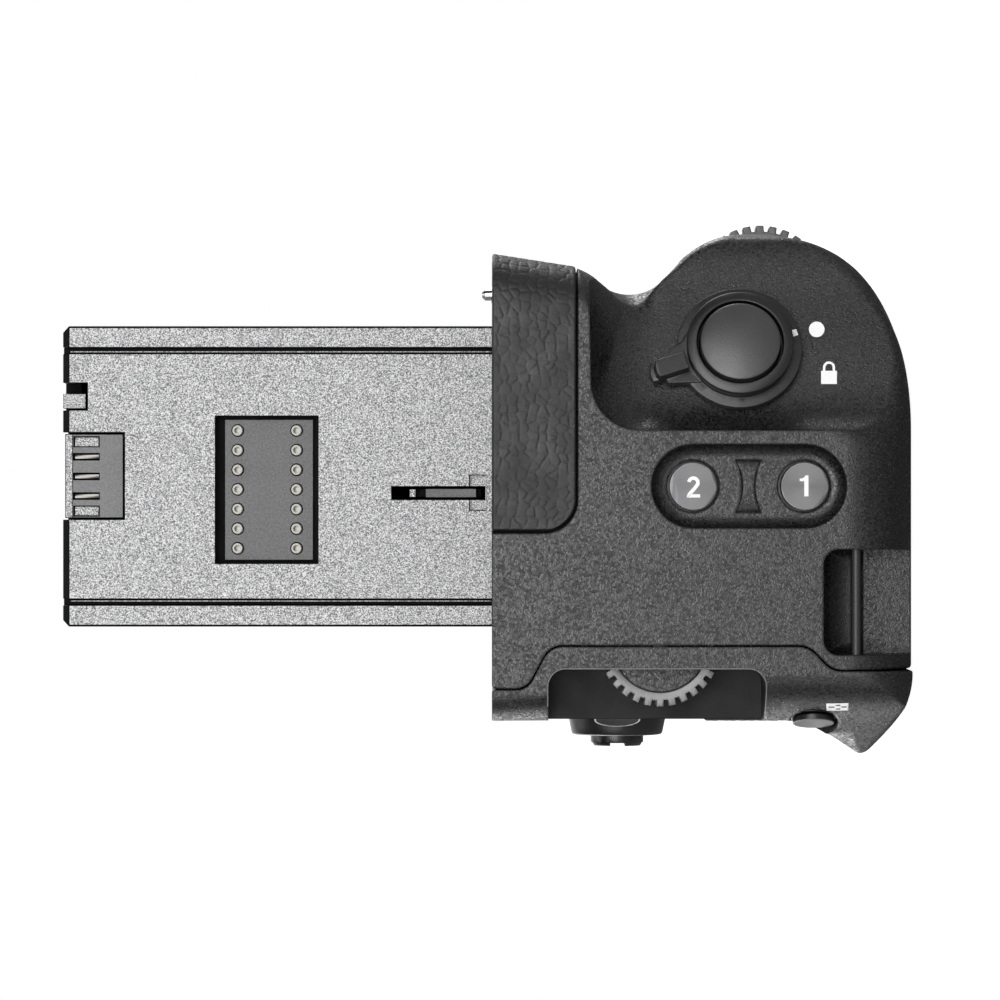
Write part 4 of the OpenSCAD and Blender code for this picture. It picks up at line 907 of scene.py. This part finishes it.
# Painted shade on the cover: its groove floor and every face not turned to the end take the near-black second
# slot.
def cover_shade_rule(c, n):
    groove = n.x > 0.9 and INS_X - 1.05 < c.x < INS_X - .85
    return 1 if groove or n.x < 0.9 else 0


paint(dress("insert_body", M_INSERT, 0.06, 1, edge=M_VOID), insert_shade_rule)
paint(dress("insert_cover", M_INSERT, 0.1, 1, edge=M_VOID), cover_shade_rule)
# Painted shade: every face of the contact block but its front takes the near-black slot.
paint(dress("contact_block", M_BLOCK, edge=M_VOID), lambda c, n: 0 if n.x > 0.9 and c.x > INS_X - 1.6 else 1)
dress("contact_pins", M_CONTACT, 0.05)
# Painted shade on the terminal block: its sides and deepest front faces are near-black; the middle step takes
# the insert's light grey.
block = dress("terminal_block", M_TERMINAL, 0.1, 1, edge=M_VOID)
block.data.materials.append(M_INSERT)
paint(block, lambda c, n: (0 if c.x > INS_X - .6 else 2 if c.x > INS_X - 1.7 else 1) if n.x > 0.9 else 1)
dress("terminal_blades", M_CONTACT, 0.05)
# Painted shade on the latch: its sides and deepest faces are near-black, the shade behind its ridge; the
# ridge top takes the insert's light grey.
slider = dress("insert_latch", M_BLOCK, 0.06, 1, edge=M_VOID)
slider.data.materials.append(M_INSERT)
paint(slider, lambda c, n: (2 if c.x > INS_X - .3 else 0 if c.x > INS_X - .8 else 1) if n.x > 0.5 else 1)
dress("shutter_escutcheon", M_DARK, 0.08)
dress("shutter_button", M_CAP, 0.3, 4)
dress("shutter_clip", M_STEEL)
dress("shutter_switch", M_DARK)
dress("lock_lever", M_DARK, 0.2, 3)
dress("custom_button_1", spun("spun_one", (0.16, 0.16, 0.163), CUST_Y * MM, CUST_Z1 * MM), 0.14, 3)
dress("custom_button_2", spun("spun_two", (0.16, 0.16, 0.163), CUST_Y * MM, CUST_Z2 * MM), 0.14, 3)
dress("front_dial", M_FDIAL, 0.12)
dress("rear_dial", M_DIAL, 0.1)
dress("rear_dial_cap", M_SHELL, 0.1)
dress("rear_dial_axle", M_DARK, 0.1)
for n in ("front_dial_axle", "joystick_rocker", "tripod_bush", "camera_screw"):
    dress(n, M_STEEL, 0.1)
dress("locating_pins", M_PIN, 0.2, 4)
dress("top_screws", M_SCREW, 0.08)
dress("base_screws", M_SCREW, 0.08)
dress("strap_bar", M_BAR)
dress("bottom_plate", M_SHELL, 0.3, 3)
dress("joystick_collar", M_DARK, 0.3, 3)
dress("joystick_cap", M_DARK, 0.18, 3)
dress("joystick_housing", M_DARK)
dress("joystick_gimbal", M_DIAL)
dress("focus_button", M_VOID, 0.2, 3)
dress("exposure_button", M_DARK, 0.2, 3)
dress("bay_contacts", M_CONTACT, 0.1)
dress("screw_wheel", M_DARK, 0.15)
dress("battery_tray", M_SMOOTH, 0.2)
dress("tray_door", M_SHELL, 0.3, 3)
dress("tray_latch", M_DARK, 0.15)
for n in ("tact_switches", "focus_switch", "exposure_switch", "bay_contact_blocks"):
    dress(n, M_DARK, 0.1)
for n in ("end_board", "rear_board", "main_board"):
    dress(n, M_BOARD, 0.1)


# Small trim

def hoop(name, rings, mat, body, n):
    """Rings with a rectangular section; each ring is (place, inner radius, outer radius, low, high)."""
    verts, faces = [], []
    for place, r0, r1, z0, z1 in rings:
        base = len(verts)
        for i in range(n):
            c, q = math.cos(2 * math.pi * i / n), math.sin(2 * math.pi * i / n)
            verts += [place(r * c, r * q, z) for r, z in ((r0, z0), (r1, z0), (r1, z1), (r0, z1))]
        for i in range(n):
            j = (i + 1) % n
            a, b = base + 4 * i, base + 4 * j
            faces += [[a + k, b + k, b + (k + 1) % 4, a + (k + 1) % 4] for k in range(4)]
    return outward(make(name, verts, faces, mat, body), flat=True)


def at_pin(y, z):
    return lambda a, b, h: (INS_X + h, y + a, z + b)


PIN_Y0, PIN_PITCH, PIN_ROWS, PIN_COUNT = .75, 2.5, (77.4, 84.9), 7
pins = [(PIN_Y0 + PIN_PITCH * i, z) for z in PIN_ROWS for i in range(PIN_COUNT)]
# Near-black rings on the block round each pin: painted shade of the gap round it.
pin_shade_rings = [(at_pin(y, z), .69, .82, -1.45, -1.385) for y, z in pins]
hoop("pin_shade_rims", pin_shade_rings, M_VOID, "housing", 32)


def at_focus(a, b, h):
    m = Matrix.Rotation(math.radians(FOCUS_LEAN), 3, "Z") @ Matrix.Rotation(math.radians(90), 3, "X")
    return tuple(Vector(FOCUS) + m @ Vector((a, b, h)))


# The light grey ring round the focus button is a painted highlight of its rim's edge.
hoop("focus_rim_highlight", [(at_focus, 2.74, 2.9, .2, .47)], M_RIM_HIGHLIGHT, "focus", 72)


def at_expo(a, b, h):
    m = Matrix.Rotation(math.radians(EXPO_FACE_LEAN), 3, "Z") @ Matrix.Rotation(math.radians(90), 3, "X")
    return tuple(Vector(EXPO) + m @ Vector((a, b, h)))


def button_face(name, place, profile, body, n=64):
    """Dished face of a button: a turned profile of radius and height, dark on its side; its top is a lighter
    grey as a painted sheen.
    """
    verts = [place(r * math.cos(2 * math.pi * i / n), r * math.sin(2 * math.pi * i / n), h)
             for r, h in profile for i in range(n)]
    ob = make(name, verts, loft_faces(n, len(profile)), M_EXPO_SHEEN, body)
    ob.data.materials.append(M_DARK)
    for k, p in enumerate(ob.data.polygons):
        p.material_index = 1 if k < n else 0
    return sharpen(ob)


EXPO_PROFILE = [(2.6, .25), (2.6, .9), (2.5, .98), (2.3, .96), (1.6, .9), (.8, .86), (.1, .84)]
button_face("exposure_face", at_expo, EXPO_PROFILE, "exposure")

BEAD_Y, BEAD_HALF = (25.75, -5.95), .05
for k, y in enumerate(BEAD_Y):
    ob = box_cut(INS_X - .95, INS_X - .45, y - BEAD_HALF, y + BEAD_HALF, MATE_Z + .1, INS_Z1 - 1)
    ob.name = f"insert_bead_{k + 1}"
    ob.data.materials.append(M_INSERT)
    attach(ob, "housing")


# Printed marks

EYE = Vector((0.664, 0.0069, 0.0515))
HALF, FOCAL = 500, 4800


def sight(px, py):
    """Ray of the photograph through a point of its 1000 x 1000 grid."""
    return Vector((-1, (HALF - py) / FOCAL, (HALF - px) / FOCAL)).normalized()


def tree_of(ob):
    bm = bmesh.new()
    bm.from_mesh(ob.data)
    bm.transform(ob.matrix_world)
    t = BVHTree.FromBMesh(bm)
    bm.free()
    return t


MARK_LIFT, MARK_SINK, MARK_STEP = 0.02, 0.06, 2.5
# Places and sizes of the marks in the photograph's grid
ONE_AT, TWO_AT, NUMERAL_H = (804.9, 485.9), (693.4, 487), 21
LOCK_AT, LOCK_H, DOT_AT, DOT_R = (829, 373), 22, (816.7, 329.4), 7.8
LINE_AT = [(808, 337), (811, 340), (812.6, 345), (812.8, 349.5)]


def mark(name, outlines, tree, mat, body):
    """Thin printed patches: outlines in the photograph's grid, laid on a surface."""
    verts, faces = [], []
    for outline in outlines:
        pts = np.array(outline, float)
        dense = []
        for a, b in zip(pts, np.roll(pts, -1, axis=0)):
            k = max(1, int(np.ceil(np.hypot(*(b - a)) / MARK_STEP)))
            dense += [a + (b - a) * i / k for i in range(k)]
        base = len(verts)
        n = len(dense)
        up, down = [], []
        for q in dense:
            hit, nor = tree.ray_cast(EYE, sight(*q))[:2]
            if nor.x < 0:
                nor = -nor
            up.append(tuple((hit + nor * MARK_LIFT * MM) / MM))
            down.append(tuple((hit - nor * MARK_SINK * MM) / MM))
        verts += up + down
        faces += [[base + i for i in range(n)], [base + n + i for i in range(n)][::-1]]
        faces += [[base + i, base + n + i, base + n + (i + 1) % n, base + (i + 1) % n] for i in range(n)]
    outward(make(name, verts, faces, mat, body), flat=True, split=True)


def stroke(pts, w):
    p = np.array(pts, float)
    t = np.gradient(p, axis=0)
    t /= np.linalg.norm(t, axis=1)[:, None]
    nrm = np.stack([-t[:, 1], t[:, 0]], 1) * w / 2
    return np.vstack([p + nrm, (p - nrm)[::-1]])


def placed(poly, cx, cy, k):
    return [(cx + k * x, cy - k * y) for x, y in poly]


def arc_pts(cx, cy, r, a0, a1, n=24):
    return [(cx + r * cosd(a), cy + r * sind(a)) for a in np.linspace(a0, a1, n)]


one = [(.17, .5), (.03, .5), (-.02, .42), (-.12, .36), (-.25, .345), (-.25, .23), (-.03, .23),
       (-.03, -.5), (.17, -.5)]
two = stroke(arc_pts(0, .21, .215, 172, -32) + [(-.0, -.13), (-.13, -.27), (-.2, -.36), (-.235, -.5)], .17)
two_foot = [(-.33, -.5), (.32, -.5), (.32, -.345), (-.2, -.345)]
mark("numeral_1", [placed(one, *ONE_AT, NUMERAL_H)], tree_of(NODES["custom_button_1"]), M_WHITE, "key_1")
mark("numeral_2", [placed(two, *TWO_AT, NUMERAL_H), placed(two_foot, *TWO_AT, NUMERAL_H)],
     tree_of(NODES["custom_button_2"]), M_WHITE, "key_2")
TICK = 16
tick = prism("index_tick", [(r * cosd(TICK) - w * sind(TICK), r * sind(TICK) + w * cosd(TICK))
                            for r, w in ((6.76, -.46), (7.5, -.4), (7.5, .4), (6.76, .46))], 1.4, 1.52, "Z")
framed(tick, SHUTTER, TILT, "end").data.materials.append(M_WHITE)
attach(tick, "lever")
shell_tree = tree_of(front)
lock_body = [(-.36, -.5), (.36, -.5), (.36, .1), (-.36, .1)]
shackle = stroke([(-.22, .1), (-.22, .24)] + arc_pts(0, .25, .22, 180, 0, 18) + [(.22, .24), (.22, .1)], .11)
mark("lock_sign", [placed(lock_body, *LOCK_AT, LOCK_H), placed(shackle, *LOCK_AT, LOCK_H)], shell_tree,
     M_WHITE, "housing")
mark("lock_dot", [placed(arc_pts(0, 0, DOT_R, 0, 350, 36), *DOT_AT, 1)], shell_tree, M_WHITE, "housing")
# A dark strip below the dot: painted shade of an engraved line.
mark("lock_line_shade", [stroke(LINE_AT, 1.0)], shell_tree, M_DARK, "housing")
rear_tree = tree_of(rear)


def bead(name, path, r, mat, body):
    """Thin round bead along a path, here light grey as a painted highlight on an edge."""
    p = np.array(path, float)
    t = np.gradient(p, axis=0)
    t /= np.linalg.norm(t, axis=1)[:, None]
    u = np.cross(t, (1.0, 0, 0))
    u /= np.linalg.norm(u, axis=1)[:, None]
    v = np.cross(t, u)
    n, m = 8, len(p)
    verts = [p[k] + r * (math.cos(2 * math.pi * i / n) * u[k] + math.sin(2 * math.pi * i / n) * v[k])
             for k in range(m) for i in range(n)]
    faces = loft_faces(n, m)
    return outward(make(name, verts, faces, mat, body))


# A light grey bead round the dial recess: a painted highlight where its edge catches light.
RIM_R, RIM_Y, RIM_Z0, RIM_Z1 = 2.2, -16.15, 18.55, 45.6
QUARTER = math.pi / 2
edge = [(y, RIM_Z0) for y in np.linspace(-19.6, RIM_Y, 12)]
edge += [(RIM_Y + RIM_R * math.sin(a), RIM_Z0 + RIM_R - RIM_R * math.cos(a))
         for a in np.linspace(0.1, QUARTER, 14)]
edge += [(RIM_Y + RIM_R, z) for z in np.linspace(21.2, 43.0, 40)]
edge += [(RIM_Y + RIM_R * math.cos(a), RIM_Z1 - RIM_R + RIM_R * math.sin(a))
         for a in np.linspace(0, QUARTER - 0.1, 14)]
edge += [(y, RIM_Z1) for y in np.linspace(RIM_Y, -18.6, 9)]
path = []
for y, z in edge:
    hit = rear_tree.ray_cast(Vector((.09, y * MM, z * MM)), Vector((-1, 0, 0)))[0]
    path.append((hit.x / MM, y, z))
bead("recess_edge_highlight", path, .075, M_EDGE_HIGHLIGHT, "housing")


def patch(name, quads, tree, mat, lift):
    """Printed patches on a curved face: each quad of the photograph's grid becomes a fine grid of points."""
    verts, faces, nu, nv = [], [], 14, 6
    for q in quads:
        base = len(verts)
        (ax, ay), (bx, by), (cx, cy), (dx, dy) = q
        for low in (0, 1):
            for i in range(nu + 1):
                for j in range(nv + 1):
                    u, v = i / nu, j / nv
                    x = (ax * (1 - u) + bx * u) * (1 - v) + (dx * (1 - u) + cx * u) * v
                    y = (ay * (1 - u) + by * u) * (1 - v) + (dy * (1 - u) + cy * u) * v
                    hit = tree.ray_cast(EYE, sight(x, y))[0]
                    verts.append(tuple((hit + Vector((1, 0, 0)) * (lift if not low else -.15) * MM) / MM))
        k, w = (nu + 1) * (nv + 1), nv + 1
        for i in range(nu):
            for j in range(nv):
                a = base + i * w + j
                f = [a, a + 1, a + w + 1, a + w]
                faces += [f, [k + n for n in f[::-1]]]
        rim = [base + i for i in rim_of(nu + 1, w)]
        faces += [[p, q, k + q, k + p] for p, q in zip(rim, rim[1:] + rim[:1])]
    outward(make(name, verts, faces, mat, "housing"))


TILE_AT = [[(826.2, 703.6), (848.6, 703.2), (848.2, 710.4), (826.6, 710.8)]]
TILE_LINES_AT = [[(828.6, 706.7), (834.4, 706.6), (834.4, 707.7), (828.6, 707.8)],
                 [(835.6, 704.9), (840.2, 704.8), (840.2, 705.9), (835.6, 706)],
                 [(835.6, 708.6), (840.2, 708.5), (840.2, 709.6), (835.6, 709.7)],
                 [(841.2, 706.5), (846.4, 706.4), (846.4, 707.5), (841.2, 707.6)]]
patch("tile", TILE_AT, rear_tree, M_WHITE, .05)
patch("tile_lines", TILE_LINES_AT, rear_tree, M_DARK, .09)


# Light, floor and camera

AIM, WHITE = (0, 0.01, 0.05), (1, 1, 1, 1)


def area(name, loc, size, power):
    """Round lamp of a size in metres that points at the middle of the grip."""
    l = bpy.data.lights.new(name, "AREA")
    l.shape = "DISK"
    l.size = size
    l.energy = power
    ob = bpy.data.objects.new(name, l)
    ob.location = loc
    ob.rotation_euler = (Vector(AIM) - Vector(loc)).to_track_quat("-Z", "Y").to_euler()
    scene.collection.objects.link(ob)
    return ob


area("front_light", (1.27, 0.06, 0.2), 1.35, 22.5)
area("lens_side_light", (-0.5, 1.2, 0.25), 1.0, 13)
area("thumb_side_light", (-0.6, -1.2, 0.2), 1.0, 14)
area("top_light", (-0.2, 0, 1.5), 1.0, 6)

# Studio: white to the camera, dim to diffuse light; to reflections bright behind the grip, dark in front
world = bpy.data.worlds.new("studio")
scene.world = world
world.use_nodes = True
world.cycles.sampling_method = "NONE"
wt = world.node_tree
wt.nodes.clear()
out = add(wt, "ShaderNodeOutputWorld")
kind = add(wt, "ShaderNodeLightPath")
coords = add(wt, "ShaderNodeTexCoord")
sepw = add(wt, "ShaderNodeSeparateXYZ")
link(wt, coords, "Generated", sepw, "Vector")
behind = add(wt, "ShaderNodeMapRange", **{"From Min": 0.1, "From Max": -0.6, "To Min": 0.012, "To Max": 2.0})
side = add(wt, "ShaderNodeMath", operation="ABSOLUTE")
link(wt, sepw, "Z", side, 0)
turn = add(wt, "ShaderNodeMath", operation="MULTIPLY_ADD")
turn.inputs[1].default_value = 0.7
link(wt, side, "Value", turn, 0)
link(wt, sepw, "X", turn, 2)
link(wt, turn, "Value", behind, "Value")
fill = add(wt, "ShaderNodeBackground", Strength=0.18, Color=WHITE)
gloss = add(wt, "ShaderNodeBackground", Color=WHITE)
link(wt, behind, "Result", gloss, "Strength")
seen = add(wt, "ShaderNodeBackground", Strength=1.0, Color=WHITE)
is_gloss = add(wt, "ShaderNodeMath", operation="MAXIMUM")
link(wt, kind, "Is Glossy Ray", is_gloss, 0)
link(wt, kind, "Is Transmission Ray", is_gloss, 1)
unseen = add(wt, "ShaderNodeMixShader")
link(wt, is_gloss, "Value", unseen, "Fac")
link(wt, fill, "Background", unseen, 1)
link(wt, gloss, "Background", unseen, 2)
studio = add(wt, "ShaderNodeMixShader")
link(wt, kind, "Is Camera Ray", studio, "Fac")
link(wt, unseen, "Shader", studio, 1)
link(wt, seen, "Background", studio, 2)
link(wt, studio, "Shader", out, "Surface")

# The floor's own white is seen by the camera only, so it throws no light on the grip.
FLOOR, FLOOR_GREY, FLOOR_GLOW = 4000, 0.42, 0.93
floor = make("floor", [(-FLOOR, -FLOOR, 0), (FLOOR, -FLOOR, 0), (FLOOR, FLOOR, 0), (-FLOOR, FLOOR, 0)],
             [(0, 1, 2, 3)], None, None)
mf, nf, pf = new_mat("floor_white")
pf.inputs["Base Color"].default_value = (FLOOR_GREY, FLOOR_GREY, FLOOR_GREY, 1)
pf.inputs["Roughness"].default_value = 0.9
pf.inputs["Specular IOR Level"].default_value = 0.1
lp = add(nf, "ShaderNodeLightPath")
em = add(nf, "ShaderNodeEmission", Strength=FLOOR_GLOW, Color=WHITE)
ad = add(nf, "ShaderNodeAddShader")
mx = add(nf, "ShaderNodeMixShader")
link(nf, pf, "BSDF", ad, 0)
link(nf, em, "Emission", ad, 1)
link(nf, lp, "Is Camera Ray", mx, "Fac")
link(nf, pf, "BSDF", mx, 1)
link(nf, ad, "Shader", mx, 2)
nf.links.new(mx.outputs["Shader"], nf.nodes["Material Output"].inputs["Surface"])
floor.data.materials.append(mf)

cam = bpy.data.cameras.new("camera")
cam.sensor_width = 36
cam.lens = cam.sensor_width * FOCAL / (2 * HALF)
cam_ob = bpy.data.objects.new("camera", cam)
cam_ob.matrix_world = Matrix(((0, 0, 1, EYE.x), (0, 1, 0, EYE.y), (-1, 0, 0, EYE.z), (0, 0, 0, 1)))
scene.collection.objects.link(cam_ob)
scene.camera = cam_ob
